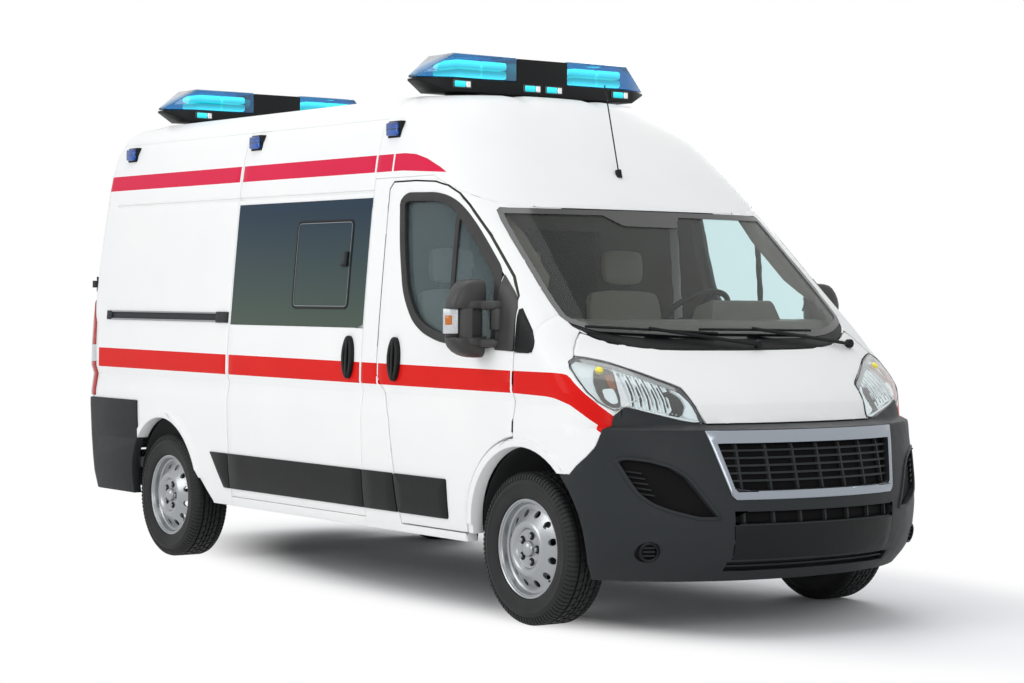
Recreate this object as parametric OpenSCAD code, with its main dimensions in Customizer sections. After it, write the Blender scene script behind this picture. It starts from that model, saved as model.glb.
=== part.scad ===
// High-roof panel-van ambulance with a sliding side door and hinged rear doors.
// X points forward, Y to the left and Z up; the origin is on the road, mid-length.
// Every node is drawn from the front axle and then moved to that origin.

/* [Overall] */
// Distance between the axles
wheelbase = 3450; // [3300:10:3700]
// Front axle to the front of the bumper
front_overhang = 948; // [930:2:980]
// Rear axle to the back of the step bumper
rear_overhang = 1015; // [980:5:1150]
// Body width at the waist, without mirrors
body_width = 2050; // [2000:5:2120]
// Height of the roof over the road
roof_height = 2524; // [2500:2:2650]
// Thickness of the doors and walls
wall = 60; // [50:1:66]
// Gap round the doors that open
door_gap = 7.5; // [7:0.5:9]
// Gap round the bonnet
bonnet_gap = 7; // [6:0.5:8]

/* [Wheels] */
// Tyre radius
tyre_r = 350; // [340:1:356]
// Tyre width
tyre_w = 225; // [195:5:235]
// Radius of the rim flange
rim_r = 228; // [215:1:232]
// Front wheel centre to the middle of the van
front_half_track = 880; // [870:1:890]
// Rear wheel centre to the middle of the van
rear_half_track = 893; // [880:1:900]
// Spindle radius in the wheel hubs
spindle_r = 30; // [25:1:36]
// Steering axis to the middle of the van
kingpin_y = 800; // [790:1:810]
// Radius of the front wheel arch
front_arch_r = 418; // [410:1:430]
// Radius of the rear wheel arch
rear_arch_r = 398; // [390:1:410]

/* [Doors and glass] */
// Bottom of the load doors over the road
sill_z = 392; // [380:1:405]
// Rear edge of the front doors, back from the front axle
front_door_back = 1200; // [1180:5:1220]
// Front edge of the sliding door, back from the front axle
slide_front = 1341; // [1330:1:1360]
// Rear edge of the sliding door, ahead of the rear axle
slide_rear = 738; // [710:2:850]
// Width of the raised lip round the wheel arches
arch_lip = 36; // [30:1:37]
// Height of the roof gutter under the top of the roof
gutter_drop = 134; // [120:1:150]
// Bottom of the rear doors over the road
rear_door_z = 560; // [552:1:590]
// Thickness of the side and door glass
glass_t = 6; // [5:0.5:8]
// Thickness of the windscreen
screen_t = 12; // [8:0.5:14]
// Radius of the door hinge pins
pin_r = 5; // [4:0.5:6]

/* [Warning lamps] */
// Half width of a light bar
bar_half = 736; // [650:2:760]
// Height of the top of the light bars over the roof
bar_top = 211; // [180:1:230]
// Light bar depth front to back
bar_deep = 260; // [220:5:300]

/* [Hidden] */
$fn = 24;

half = body_width / 2;
axle_x = (wheelbase + rear_overhang - front_overhang) / 2;
rear_x = -wheelbase;
tail_x = -wheelbase - rear_overhang + 40;
slide_back = wheelbase - slide_rear;
gutter_z = roof_height - gutter_drop;
seat = 0.3;
running = 0.08;
pillar_in = 27;
bonnet_t = 14;
lip_proud = 10;
groove_deep = 9;

// Outlines are drawn with the waist and the gutter at these heights;
// what lies between them follows the roof.
waist_z = 1262;
drawn_gutter = 2390;
function tall(z) = z <= waist_z ? z : z >= drawn_gutter ? z - drawn_gutter + gutter_z
  : waist_z + (z - waist_z) * (gutter_z - waist_z) / (drawn_gutter - waist_z);
function tall_all(points) = [for (p = points) [p[0], tall(p[1])]];

// Body form, one row a height: height over the road, inset of the side from the full width,
// nose forward of the front axle, bow radius of the nose, depth and power of its corner,
// inset of the tail.
BODY = [
  [246, 75, front_overhang - 120, 2600, 420, 2.5, 60],
  [330, 45, front_overhang - 48, 2600, 430, 2.5, 20],
  [430, 30, front_overhang - 10, 2500, 430, 2.5, 0],
  [520, 20, front_overhang, 2400, 425, 2.5, 0],
  [650, 10, front_overhang - 18, 2400, 415, 2.5, 0],
  [840, 1, front_overhang - 68, 2600, 400, 2.5, 0],
  [917, 1, front_overhang - 98, 2800, 380, 2.5, 0],
  [935, 3, front_overhang - 200, 3200, 330, 2.6, 0],
  [1022, 16, front_overhang - 264, 3800, 270, 2.9, 0],
  [1072, 0, front_overhang - 316, 4200, 250, 3.1, 0],
  [1190, 2, 470, 5000, 215, 3.6, 0],
  [1262, 7, 352, 6000, 210, 4.2, 0],
  [tall(1335), 12, 271, 6500, 230, 4.6, 0],
  [tall(1600), 34, -24, 6500, 290, 5, 7],
  [tall(1911), 63, -372, 6500, 300, 5, 37],
  [tall(2108), 84, -574, 6200, 330, 4.6, 57],
  [tall(2250), 107, -722, 6000, 350, 4.2, 73],
  [tall(2330), 130, -808, 6000, 360, 4, 84],
  [gutter_z, 158, -876, 6000, 370, 3.8, 96],
  [roof_height - 84, 195, -938, 6000, 380, 3.5, 111],
  [roof_height - 44, 250, -1000, 6000, 380, 3.2, 131],
  [roof_height - 24, 330, -1048, 6000, 380, 3, 156],
  [roof_height - 12, 480, -1096, 6000, 380, 3, 196],
  [roof_height - 4, 720, -1150, 6000, 380, 3, 246],
  [roof_height, 930, -1230, 6000, 400, 3, 336]];
TOP = len(BODY) - 1;
BUMPER_TOP = 6;

// Stations across the half nose, as parts of the half width
ACROSS = [0, 0.12, 0.24, 0.36, 0.48, 0.6, 0.7, 0.78, 0.85, 0.9, 0.94, 0.97, 0.985, 0.995, 1];
tail_corner = 70;

function side_w(r, t) = half - r[1] - t;
function nose_x(r, t) = r[2] - t * (r[0] < 925 ? 1 : 1.45);
function round_off(u, p) = 1 - pow(max(0, 1 - pow(u, p)), 1 / p);
function nose_pts(r, t) = [for (u = ACROSS)
  let (y = side_w(r, t) * u) [nose_x(r, t) - y * y / (2 * r[3]) - r[4] * round_off(u, r[5]), y]];
function tail_pts(r, t) = let (w = side_w(r, t), x = tail_x + r[6] + t, c = min(tail_corner, w / 2))
  [for (a = [0:30:90]) [x + c - c * sin(a), w - c + c * cos(a)]];
function half_ring(r, t) = concat(nose_pts(r, t), tail_pts(r, t));
function level_z(r, t) = r[0] - t * max(0, min(1, (r[0] - tall(2250)) / (roof_height - 84 - tall(2250))));
function ring(r, t) = let (h = half_ring(r, t), n = len(h))
  concat(h, [for (i = [n - 1:-1:1]) [h[i][0], -h[i][1]]]);
function ring3(r, t, dz) = [for (p = ring(r, t)) [p[0], p[1], level_z(r, t) + dz]];

// Row below a height, and one column of the table at that height
function row_at(z) = max([for (i = [0:TOP - 1]) BODY[i][0] <= z ? i : 0]);
function col_at(z, c) = let (i = row_at(z), a = BODY[i], b = BODY[i + 1])
  a[c] + (b[c] - a[c]) * (z - a[0]) / (b[0] - a[0]);

// Convex slab between two outlines
module slab(lower, upper) {
  n = len(lower);
  hull()
    polyhedron(points = concat(lower, upper),
      faces = [[for (i = [0:n - 1]) i], [for (i = [n - 1:-1:0]) n + i]]);
}

// Whole body form moved in by t, between two rows of the table
module body_form(t, lo, hi) {
  for (i = [lo:hi - 1])
    slab(ring3(BODY[i], t, 0), ring3(BODY[i + 1], t, 0));
}

// The same form, lengthened past both end rows, for cutting
module body_cut(t, lo, hi) {
  body_form(t, lo, hi);
  slab(ring3(BODY[lo], t, -80), ring3(BODY[lo], t, 0));
  if (hi < TOP)
    slab(ring3(BODY[hi], t, 0), ring3(BODY[hi], t, 80));
}

// Layer of the body between two depths under its surface
module skin(outer, inner, lo, hi) {
  difference() {
    body_form(outer, lo, hi);
    body_cut(inner, lo, hi);
  }
}

// Prism through one side of the van from an outline in X and Z
module side_prism(right = true) {
  mirror([0, right ? 0 : 1, 0])
    translate([0, -480, 0])
      rotate([90, 0, 0])
        linear_extrude(900)
          children();
}

// Prism along the van from an outline in Y and Z
module long_prism(x0, x1) {
  translate([x0, 0, 0])
    rotate([90, 0, 90])
      linear_extrude(x1 - x0)
        children();
}

// Moves what is drawn from the front axle to the origin
module from_axle() {
  translate([axle_x, 0, 0])
    children();
}

module block(lo, hi) {
  translate(lo)
    cube(hi - lo);
}

// Both sides from a right-hand one
module both_sides() {
  children();
  mirror([0, 1, 0])
    children();
}

// Outlines seen from the front, full width from the left half
function two_sided(h) = concat(h, [for (i = [len(h) - 1:-1:0]) [-h[i][0], h[i][1]]]);

module bonnet_outline() {
  polygon(two_sided(tall_all([[0, 1254], [476, 1257], [half - 457, 1262], [half - 377, 1272],
    [half - 305, 1290], [half - 251, 1312], [half - 202, 1334], [half - 164, 1300],
    [half - 133, 1263], [half - 114, 1236], [half - 168, 1228], [half - 246, 1207],
    [half - 319, 1176], [half - 393, 1142], [half - 467, 1109], [half - 493, 1094],
    [half - 502, 1052], [half - 515, 997], [half - 534, 941], [0, 941]])));
}

module lamp_outline() {
  polygon([[half - 112, 1235], [half - 69, 1211], [half - 57, 1180], [half - 57, 1132],
    [half - 66, 1078], [half - 96, 1035], [half - 132, 1008], [half - 161, 994],
    [half - 196, 1018], [half - 249, 999], [half - 338, 975], [half - 419, 953],
    [half - 480, 943], [half - 530, 940], [half - 513, 997], [half - 500, 1052],
    [half - 491, 1094], [half - 467, 1107], [half - 393, 1140], [half - 319, 1174],
    [half - 246, 1205], [half - 168, 1226]]);
}

module screen_outline() {
  polygon(two_sided(tall_all([[0, 1308], [476, 1311], [half - 377, 1326], [half - 285, 1346],
    [half - 225, 1366], [half - 179, 1385], [half - 161, 1410], [half - 157, 1470],
    [half - 159, 1540], [half - 168, 1651], [half - 176, 1750], [half - 187, 1858],
    [half - 199, 1910], [half - 220, 1922], [0, 1924]])));
}

module cowl_outline() {
  polygon(two_sided(tall_all([[0, 1264], [476, 1267], [half - 457, 1272], [half - 377, 1282],
    [half - 305, 1300], [half - 251, 1322], [half - 210, 1346], [half - 185, 1366],
    [half - 179, 1384.5], [half - 225, 1365.5], [half - 285, 1345.5], [half - 377, 1325.5],
    [476, 1310.5], [0, 1307.5]])));
}

// Outlines seen from the side
module door_outline() {
  difference() {
    polygon(tall_all([[-front_door_back, 1110], [-front_door_back, 2030], [-front_door_back + 34, 2064],
      [-973, 2064], [-805, 2054], [-707, 2031], [-628, 1992], [-553, 1936], [-376, 1790],
      [-157, 1591], [-80, 1501], [-58, 1400], [-50, 1250], [-50, 384], [-1017, 384],
      [-1090, 900], [-1150, 1040]]));
    translate([15, 400])
      circle(front_arch_r + 45, $fn = 64);
  }
}

module door_window() {
  polygon(tall_all([[-1090, 1961], [-1060, 1990], [-1020, 2002], [-782, 1996], [-687, 1978],
    [-613, 1948], [-538, 1897], [-444, 1820], [-316, 1706], [-200, 1600], [-200, 1262],
    [-652, 1283], [-801, 1324], [-893, 1377], [-952, 1445], [-1001, 1527], [-1056, 1734]]));
}

// Black corner piece ahead of the door glass
module corner_outline() {
  polygon(tall_all([[-44, 1247], [52, 1243], [88, 1250], [99, 1275], [97, 1300], [70, 1345],
    [-30, 1446], [-44, 1440]]));
}

module cap_outline() {
  polygon(tall_all([[-slide_front, 2085], [-830, 2085], [-440, 1928], [100, 1928], [100, 2900],
    [-slide_front, 2900]]));
}

module fender_outline() {
  difference() {
    union() {
      polygon(tall_all([[-50 + door_gap / 2, 390], [-50 + door_gap / 2, 1243], [86, 1243], [86, 1440],
        [260, 1440], [700, 1250], [700, 390]]));
      intersection() {
        translate([15, 400])
          circle(front_arch_r + 45 - door_gap, $fn = 64);
        translate([-600, 0])
          square([600, 900]);
      }
    }
    translate([15, 400])
      circle(front_arch_r, $fn = 64);
    translate([-600, 0])
      square([1400, 386]);
  }
}

module front_arch() {
  translate([15, 400])
    circle(front_arch_r, $fn = 64);
}

module rear_arch() {
  translate([rear_x - 35, 395])
    circle(rear_arch_r, $fn = 64);
  polygon([[rear_x - 35 - rear_arch_r, 395], [rear_x - 35 - rear_arch_r, 200],
    [rear_x + 520, 200], [rear_x + 520, 350], [rear_x + 300, 560]]);
}

module side_window(grow) {
  offset(delta = grow)
    polygon(tall_all([[-slide_back + 14, 1338], [-slide_front - 6, 1338], [-slide_front - 6, 1990],
      [-slide_back + 14, 1990]]));
}

module side_window_hole() {
  polygon(tall_all([[-slide_back + 70, 1385], [-slide_front - 60, 1385], [-slide_front - 60, 1945],
    [-slide_back + 70, 1945]]));
}

module slide_outline(grow) {
  offset(delta = grow)
    polygon([[-slide_back, sill_z], [-slide_front, sill_z], [-slide_front, gutter_z - 4],
      [-slide_back, gutter_z - 4]]);
}

module rear_bumper_side() {
  polygon([[rear_x - 330, 880], [tail_x - 60, 880], [tail_x - 60, 300], [rear_x - 330, 300]]);
}

module tail_lamp_outline(grow) {
  offset(delta = grow)
    polygon(tall_all([[tail_x - 60, 892], [tail_x + 95, 892], [tail_x + 103, 1100], [tail_x + 85, 1330],
      [tail_x + 25, 1465], [tail_x - 60, 1465]]));
}

module rear_door_outline() {
  polygon(tall_all([[4.6, rear_door_z], [half - 100, rear_door_z], [half - 100, 1300],
    [half - 150, 1911], [half - 205, 2250], [half - 225, 2300], [4.6, 2300]]));
}

module rear_window() {
  polygon(tall_all([[90, 1385], [half - 190, 1385], [half - 235, 1930], [90, 1930]]));
}

// Groove along the sides under the joint of the high roof
module side_groove(right) {
  intersection() {
    skin(-20, groove_deep, 13, 16);
    side_prism(right)
      translate([tail_x + 230, tall(2015)])
        square([-tail_x - 230 - front_door_back - 45, 15]);
  }
}

// Raised lip round an arch: its centre and radius, seen from the side
module lip_outline(at, r) {
  difference() {
    translate(at)
      circle(r + arch_lip, $fn = 64);
    translate(at)
      circle(r, $fn = 64);
  }
}

// Roof and sides
module roof_panel() {
  color("white") from_axle()
    intersection() {
      skin(0, wall, 16, TOP);
      union() {
        block([tail_x - 50, -half, gutter_z], [-slide_front, half, roof_height + 10]);
        block([tail_x - 50, -half + 225, tall(2306)], [tail_x + 170, half - 225, gutter_z]);
      }
    }
}

module roof_cap() {
  color("white") from_axle()
    difference() {
      intersection() {
        skin(0, wall, 13, TOP);
        rotate([90, 0, 0])
          linear_extrude(body_width, center = true)
            cap_outline();
      }
      long_prism(-700, 100)
        offset(delta = 0.5)
          screen_outline();
    }
}

// One side wall with its rear pillar, from a front edge backwards
module side_wall(right, front_x, top_x) {
  difference() {
    intersection() {
      union() {
        skin(0, wall, 1, 18);
        intersection() {
          skin(-lip_proud, wall, 2, 6);
          side_prism(right)
            lip_outline([rear_x - 35, 395], rear_arch_r);
        }
      }
      side_prism(right)
        polygon([[tail_x - 80, 342], [front_x, 342], [front_x, tall(2084.5)], [top_x, tall(2084.5)],
          [top_x, gutter_z], [tail_x - 80, gutter_z]]);
    }
    side_prism(right) {
      rear_arch();
      tail_lamp_outline(0.4);
    }
    side_groove(right);
    difference() {
      side_prism(right)
        rear_bumper_side();
      block([tail_x - 100, -half + pillar_in, 300], [tail_x + 75, half - pillar_in, 900]);
    }
    block([tail_x - 100, -half, 300], [tail_x + 170, half, rear_door_z - 8]);
    both_sides()
      long_prism(tail_x - 100, tail_x + 170)
        offset(delta = door_gap)
          rear_door_outline();
    block([tail_x - 100, -half + 226, 300], [tail_x + 170, half - 226, 700]);
    block([tail_x - 100, -half + 225, tall(2305)], [tail_x + 170, half - 225, roof_height]);
  }
}

module quarter_panel_right() {
  color("white") from_axle()
    side_wall(true, -slide_back - 3, -slide_back - 3);
}

module side_panel_left() {
  color("white") from_axle()
    difference() {
      side_wall(false, -front_door_back - door_gap / 2, -slide_front - 0.3);
      side_prism(false)
        side_window_hole();
      intersection() {
        skin(-20, 8 + seat, 11, 16);
        side_prism(false)
          side_window(seat);
      }
    }
}

module sliding_door() {
  color("white") from_axle()
    difference() {
      intersection() {
        skin(0, wall, 1, 18);
        side_prism(true)
          slide_outline(-2.5);
      }
      side_prism(true)
        side_window_hole();
      side_groove(true);
      intersection() {
        skin(-20, 8 + seat, 11, 16);
        side_prism(true)
          side_window(seat);
      }
    }
}

module side_glass() {
  color("dimgray") from_axle()
    intersection() {
      skin(0, 8, 11, 16);
      both_sides()
        side_prism(true)
          side_window(0);
    }
}

// Cab
module cab_frame() {
  color("white") from_axle()
    difference() {
      intersection() {
        skin(0, wall, 0, 17);
        union() {
          both_sides()
            side_prism(true)
              polygon(tall_all([[-front_door_back - 3.5, 342], [-460, 342], [-460, 380],
                [-50 + door_gap / 2, 380], [-50 + door_gap / 2, 1243.5], [85.5, 1243.5],
                [85.5, 1440.5], [400, 1440.5], [400, 1927.5], [-440, 1927.5], [-830, 2084.5],
                [-front_door_back - 3.5, 2084.5]]));
          side_prism(true)
            polygon(tall_all([[-slide_front, 342], [-front_door_back, 342], [-front_door_back, 2084.5],
              [-slide_front, 2084.5]]));
          side_prism(true)
            polygon([[-slide_back - 2.5, 342], [-slide_front, 342], [-slide_front, sill_z],
              [-slide_back - 2.5, sill_z]]);
        }
      }
      both_sides()
        side_prism(true) {
          offset(delta = door_gap / 2)
            door_outline();
          translate([15, 400])
            circle(front_arch_r + 46, $fn = 64);
          offset(delta = 0.4)
            corner_outline();
        }
      long_prism(-700, 500) {
        offset(delta = 0.5)
          screen_outline();
        offset(delta = 0.5)
          cowl_outline();
      }
    }
}

module front_fenders() {
  color("white") from_axle()
    difference() {
      intersection() {
        union() {
          skin(0, wall, 1, 13);
          intersection() {
            skin(-lip_proud, wall, 2, 6);
            both_sides()
              side_prism(true)
                lip_outline([15, 400], front_arch_r);
          }
        }
        both_sides()
          side_prism(true)
            fender_outline();
      }
      long_prism(100, 1000)
        offset(delta = bonnet_gap)
          bonnet_outline();
      both_sides()
        long_prism(100, 1000)
          offset(delta = 0.4)
            lamp_outline();
      long_prism(-100, 1000) {
        offset(delta = 0.5)
          screen_outline();
        offset(delta = 0.5)
          cowl_outline();
      }
      side_prism(true)
        offset(delta = 0.4)
          corner_outline();
      side_prism(false)
        offset(delta = 0.4)
          corner_outline();
      both_sides()
        side_prism(true)
          offset(delta = seat)
            bumper_side();
      block([-100, -half + 230, 1200], [600, half - 230, 1500]);
    }
}

module bonnet() {
  color("white") from_axle()
    intersection() {
      skin(0, bonnet_t, 6, 13);
      long_prism(100, 1000)
        bonnet_outline();
    }
}

module windscreen() {
  color("lightsteelblue") from_axle()
    intersection() {
      skin(0, screen_t, 11, 15);
      long_prism(-700, 500)
        screen_outline();
    }
}

module cowl_panel() {
  color("dimgray") from_axle()
    intersection() {
      skin(3, 26, 10, 14);
      long_prism(0, 500)
        cowl_outline();
    }
}

module headlamps() {
  color("gainsboro") from_axle()
    intersection() {
      skin(10, 24 - seat, 0, 7);
      both_sides()
        long_prism(300, 1000)
          translate(fog_at)
            circle(fog_r - 10);
    }
  color("gainsboro") from_axle()
    difference() {
      intersection() {
        skin(0, 30, 6, 12);
        both_sides()
          long_prism(100, 1000)
            lamp_outline();
      }
      long_prism(100, 1000)
        offset(delta = bonnet_gap)
          bonnet_outline();
    }
}

// Openings in the bumper seen from the front
module grille_hole() {
  polygon(two_sided([[522, 858], [474, 668], [460, 652]]));
}

module intake_hole() {
  translate([-478, 507])
    square([956, 54]);
}

module lower_hole() {
  translate([-487, 297])
    square([974, 42]);
}

module scoop_outline() {
  polygon([[half - 122, 781], [half - 147, 790], [half - 225, 779], [half - 301, 754],
    [half - 357, 711], [half - 397, 651], [half - 441, 582], [half - 471, 539],
    [half - 391, 540], [half - 288, 570], [half - 226, 599], [half - 182, 641],
    [half - 154, 700]]);
}

fog_at = [half - 223, 385];
fog_r = 44;

module bumper_side() {
  polygon([[364, 714], [404, 755], [450, 797], [485, 842], [503, 905], [505, 977],
    [525, 1014], [1000, 1014], [1000, 200], [250, 200], [250, 714]]);
}

module front_bumper() {
  color("dimgray") from_axle()
    difference() {
      intersection() {
        skin(0, 45, 0, 9);
        rotate([90, 0, 0])
          linear_extrude(body_width + 20, center = true)
            bumper_side();
      }
      both_sides()
        side_prism(true)
          front_arch();
      long_prism(300, 1000) {
        grille_hole();
        intake_hole();
        lower_hole();
      }
      long_prism(100, 1000)
        offset(delta = bonnet_gap)
          bonnet_outline();
      both_sides()
        long_prism(100, 1000)
          offset(delta = 0.4)
            lamp_outline();
      intersection() {
        skin(-30, 24, 0, 7);
        both_sides()
          long_prism(300, 1000) {
            scoop_outline();
            translate(fog_at)
              circle(fog_r);
          }
      }
    }
}

// Bars stand on a plate that closes each opening; bars repeat across the width
bar_step = 143;

module bar_lattice() {
  for (y = [-3:3])
    translate([y * bar_step - 5, 500])
      square([10, 370]);
  for (z = [690:33:830])
    translate([-600, z])
      square([1200, 9]);
  translate([-600, 313])
    square([1200, 9]);
}

module grille() {
  color("dimgray") from_axle()
    intersection() {
      union() {
        skin(32, 40, 0, 7);
        intersection() {
          skin(12, 33, 0, 7);
          long_prism(300, 1000)
            bar_lattice();
        }
      }
      long_prism(300, 1000)
        offset(delta = -seat) {
          grille_hole();
          intake_hole();
          lower_hole();
        }
    }
}

module grille_surround() {
  color("silver") from_axle()
    intersection() {
      skin(-8, -seat, 2, 7);
      long_prism(300, 1000)
        difference() {
          polygon(two_sided([[568, 915], [492, 632], [470, 612]]));
          grille_hole();
        }
    }
}

// Front doors; the hinge pins stand upright just inside the skin
hinge_x = -50 - door_gap / 2 - 54;
hinge_y = half - 15;
HINGE_Z = [905, 1130];

module front_door(right) {
  color("white") from_axle()
    difference() {
      intersection() {
        skin(0, wall, 1, 16);
        side_prism(right)
          offset(delta = -door_gap / 2)
            door_outline();
      }
      side_prism(right)
        door_window();
      mirror([0, right ? 0 : 1, 0])
        for (z = HINGE_Z) {
          block([hinge_x - 18, -hinge_y - 9, z - 23], [0, -half + 150, z + 23]);
          translate([hinge_x, -hinge_y, z - 45])
            cylinder(r = pin_r + 0.6, h = 90);
        }
    }
}

module front_door_right() {
  front_door(true);
}

module front_door_left() {
  front_door(false);
}

module front_glass(right) {
  color("slategray") from_axle()
    intersection() {
      skin(20, 20 + glass_t, 10, 16);
      side_prism(right)
        offset(delta = -seat)
          door_window();
    }
}

module front_glass_right() {
  front_glass(true);
}

module front_glass_left() {
  front_glass(false);
}

// Oval pull handle with a pocket either side of its grip
module pull_handle(right, x) {
  difference() {
    intersection() {
      body_form(-32, 8, 13);
      side_prism(right)
        translate([x, 1190])
          scale([47, 106])
            circle(1);
    }
    intersection() {
      skin(-60, -14, 8, 13);
      side_prism(right)
        difference() {
          translate([x, 1190])
            scale([30, 84])
              circle(1);
          translate([x - 9, 1080])
            square([18, 220]);
        }
    }
  }
}

// Strip, handle and mirror of one front door
module front_fittings(right) {
  color("dimgray") from_axle()
    difference() {
      union() {
        intersection() {
          body_form(-10, 1, 6);
          side_prism(right)
            intersection() {
              translate([-1400, 439])
                square([803, 190]);
              offset(delta = -door_gap / 2)
                door_outline();
            }
        }
        pull_handle(right, -1033);
        mirror([0, right ? 0 : 1, 0])
          mirror_parts();
      }
      body_cut(-seat, 1, 16);
    }
}

module mirror_parts() {
  hull() {
    for (z = [1257, 1537])
      translate([-264, -half - 62, tall(z)])
        sphere(41);
    for (z = [1255, 1540])
      translate([-317, -half - 157, tall(z)])
        sphere(38);
    translate([-240, -half - 84, tall(1400)])
      sphere(44);
  }
  for (z = [1285, 1455])
    hull() {
      translate([-240, -half - 60, tall(z)])
        sphere(22);
      translate([-170, -half + 40, tall(z)])
        sphere(26);
    }
}

module front_fittings_right() {
  front_fittings(true);
}

module front_fittings_left() {
  front_fittings(false);
}

// Rear doors hang on upright pins behind the corner
rear_pin_x = tail_x - 23;
rear_pin_y = half - 75;
REAR_HINGE_Z = [720, tall(1560)];

module rear_door(right) {
  color("white") from_axle()
    mirror([0, right ? 1 : 0, 0])
      difference() {
        intersection() {
          skin(0, wall, 2, 18);
          long_prism(tail_x - 100, tail_x + 170)
            rear_door_outline();
        }
        long_prism(tail_x - 100, tail_x + 170)
          rear_window();
      }
}

module rear_door_right() {
  rear_door(true);
}

module rear_door_left() {
  rear_door(false);
}

module rear_glass(right) {
  color("dimgray") from_axle()
    mirror([0, right ? 1 : 0, 0])
      intersection() {
        skin(6, 6 + glass_t, 11, 16);
        long_prism(tail_x - 100, tail_x + 170)
          offset(delta = -seat)
            rear_window();
      }
}

module rear_glass_right() {
  rear_glass(true);
}

module rear_glass_left() {
  rear_glass(false);
}

// Rear face and corner of the body about a hinge, between two heights
function rear_face_x(lo, hi) = tail_x + min(col_at(lo, 6), col_at(hi, 6)) - seat;

module rear_corner(lo, hi) {
  y = half - min(col_at(lo, 1), col_at(hi, 1)) - tail_corner;
  x = rear_face_x(lo, hi);
  translate([x + tail_corner + seat, -y, lo - 1])
    cylinder(r = tail_corner + seat, h = hi - lo + 2);
  block([x, -y, lo - 1], [x + 200, 0, hi + 1]);
}

// Hinge leaves of one rear door, and the pull handle on the right one
module rear_fittings(right) {
  color("dimgray") from_axle()
    mirror([0, right ? 1 : 0, 0])
      for (z = REAR_HINGE_Z)
        difference() {
          union() {
            block([rear_pin_x, rear_pin_y - 110, z - 45],
              [rear_face_x(z - 45, z + 45), rear_pin_y - 60, z + 45]);
            for (s = [-45, 22])
              block([rear_pin_x - 8, rear_pin_y - 80, z + s], [rear_pin_x + 8, rear_pin_y, z + s + 23]);
            for (s = [-45, 22])
              translate([rear_pin_x, rear_pin_y, z + s])
                cylinder(r = 12, h = 23);
          }
          translate([rear_pin_x, rear_pin_y, z - 60])
            cylinder(r = pin_r + running, h = 120);
        }
  if (right)
    color("dimgray") from_axle()
      block([tail_x - 26, -150, 1000], [tail_x - seat, -40, 1110]);
}

module rear_fittings_right() {
  rear_fittings(true);
}

module rear_fittings_left() {
  rear_fittings(false);
}

// Fixed hinge halves on the rear pillars and behind the front doors
module door_hinges() {
  color("gray") from_axle()
    both_sides() {
      for (z = REAR_HINGE_Z) {
        translate([rear_pin_x, -rear_pin_y, z - 45])
          cylinder(r = pin_r, h = 90);
        translate([rear_pin_x, -rear_pin_y, z - 21])
          cylinder(r = 12, h = 42);
        difference() {
          block([rear_pin_x + 5, -rear_pin_y - 44, z - 21], [tail_x + 40, -rear_pin_y + 8, z + 21]);
          rear_corner(z - 21, z + 21);
        }
      }
      for (z = HINGE_Z) {
        translate([hinge_x, -hinge_y, z - 42])
          cylinder(r = pin_r, h = 84);
        translate([hinge_x, -hinge_y, z - 18])
          cylinder(r = 8, h = 36);
        block([hinge_x - 7, -hinge_y, z - 18], [hinge_x + 7, -half + 98, z + 18]);
      }
      block([hinge_x - 35, -half + 97, HINGE_Z[0] - 30],
        [hinge_x + 35, -half + 130 - seat, HINGE_Z[1] + 60]);
    }
}

module tail_lamps() {
  color("firebrick") from_axle()
    difference() {
      intersection() {
        skin(-6, 30, 5, 13);
        both_sides()
          side_prism(true)
            tail_lamp_outline(0);
      }
      block([tail_x - 100, -half + 87, 800], [tail_x + 200, half - 87, tall(1500)]);
    }
  color("firebrick") from_axle()
    intersection() {
      skin(-8, -seat, 16, 18);
      long_prism(tail_x - 100, tail_x + 170)
        translate([-160, tall(2336)])
          square([320, 28]);
    }
}

// Rubbing strips, rail and handle on the fixed sides
strip_back = rear_x + 537;
STRIPS = [[strip_back, -slide_back - 3], [-slide_back + 2.5, -slide_front - 2.5],
  [-slide_front + 0.5, -front_door_back - 3.5]];

module side_trim() {
  color("dimgray") from_axle()
    difference() {
      union() {
        intersection() {
          body_form(-10, 1, 6);
          union() {
            for (s = STRIPS)
              side_prism(true)
                translate([s[0], 439])
                  square([s[1] - s[0], 190]);
            side_prism(false)
              translate([strip_back, 439])
                square([-strip_back - front_door_back - 3.5, 190]);
          }
        }
        intersection() {
          body_form(-14, 11, 14);
          side_prism(true)
            translate([rear_x - 745, tall(1358)])
              square([slide_rear + 745 + 8, 38]);
        }
        pull_handle(true, -slide_front - 115);
      }
      body_cut(-seat, 1, 16);
    }
  color("dimgray") from_axle()
    intersection() {
      skin(-2, 20, 10, 14);
      both_sides()
        side_prism(true)
          corner_outline();
    }
}

module rear_bumper() {
  color("dimgray") from_axle()
    union() {
      difference() {
        intersection() {
          skin(-10, 40, 1, 7);
          both_sides()
            side_prism(true)
              offset(delta = -0.4)
                rear_bumper_side();
        }
        both_sides()
          side_prism(true)
            rear_arch();
        block([tail_x - 100, -half + pillar_in - 0.4, 545], [tail_x + 75.4, half - pillar_in + 0.4, 900]);
      }
      translate([tail_x - 40, -half + 110, 400])
        cube([90, body_width - 220, 145]);
    }
}

// Light bars: one across the front of the roof and one across the rear
BARS = [-1335, rear_x - 610];

// Length of a bar whose ends are drawn back to low points
module bar_section(z0, z1, y0, shoulder, tip, tip_z, deep) {
  hull() {
    block([-deep / 2, y0, z0], [deep / 2, shoulder, z1]);
    block([-deep / 6, tip - 10, tip_z - 6], [deep / 6, tip, tip_z + 6]);
  }
}

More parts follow.
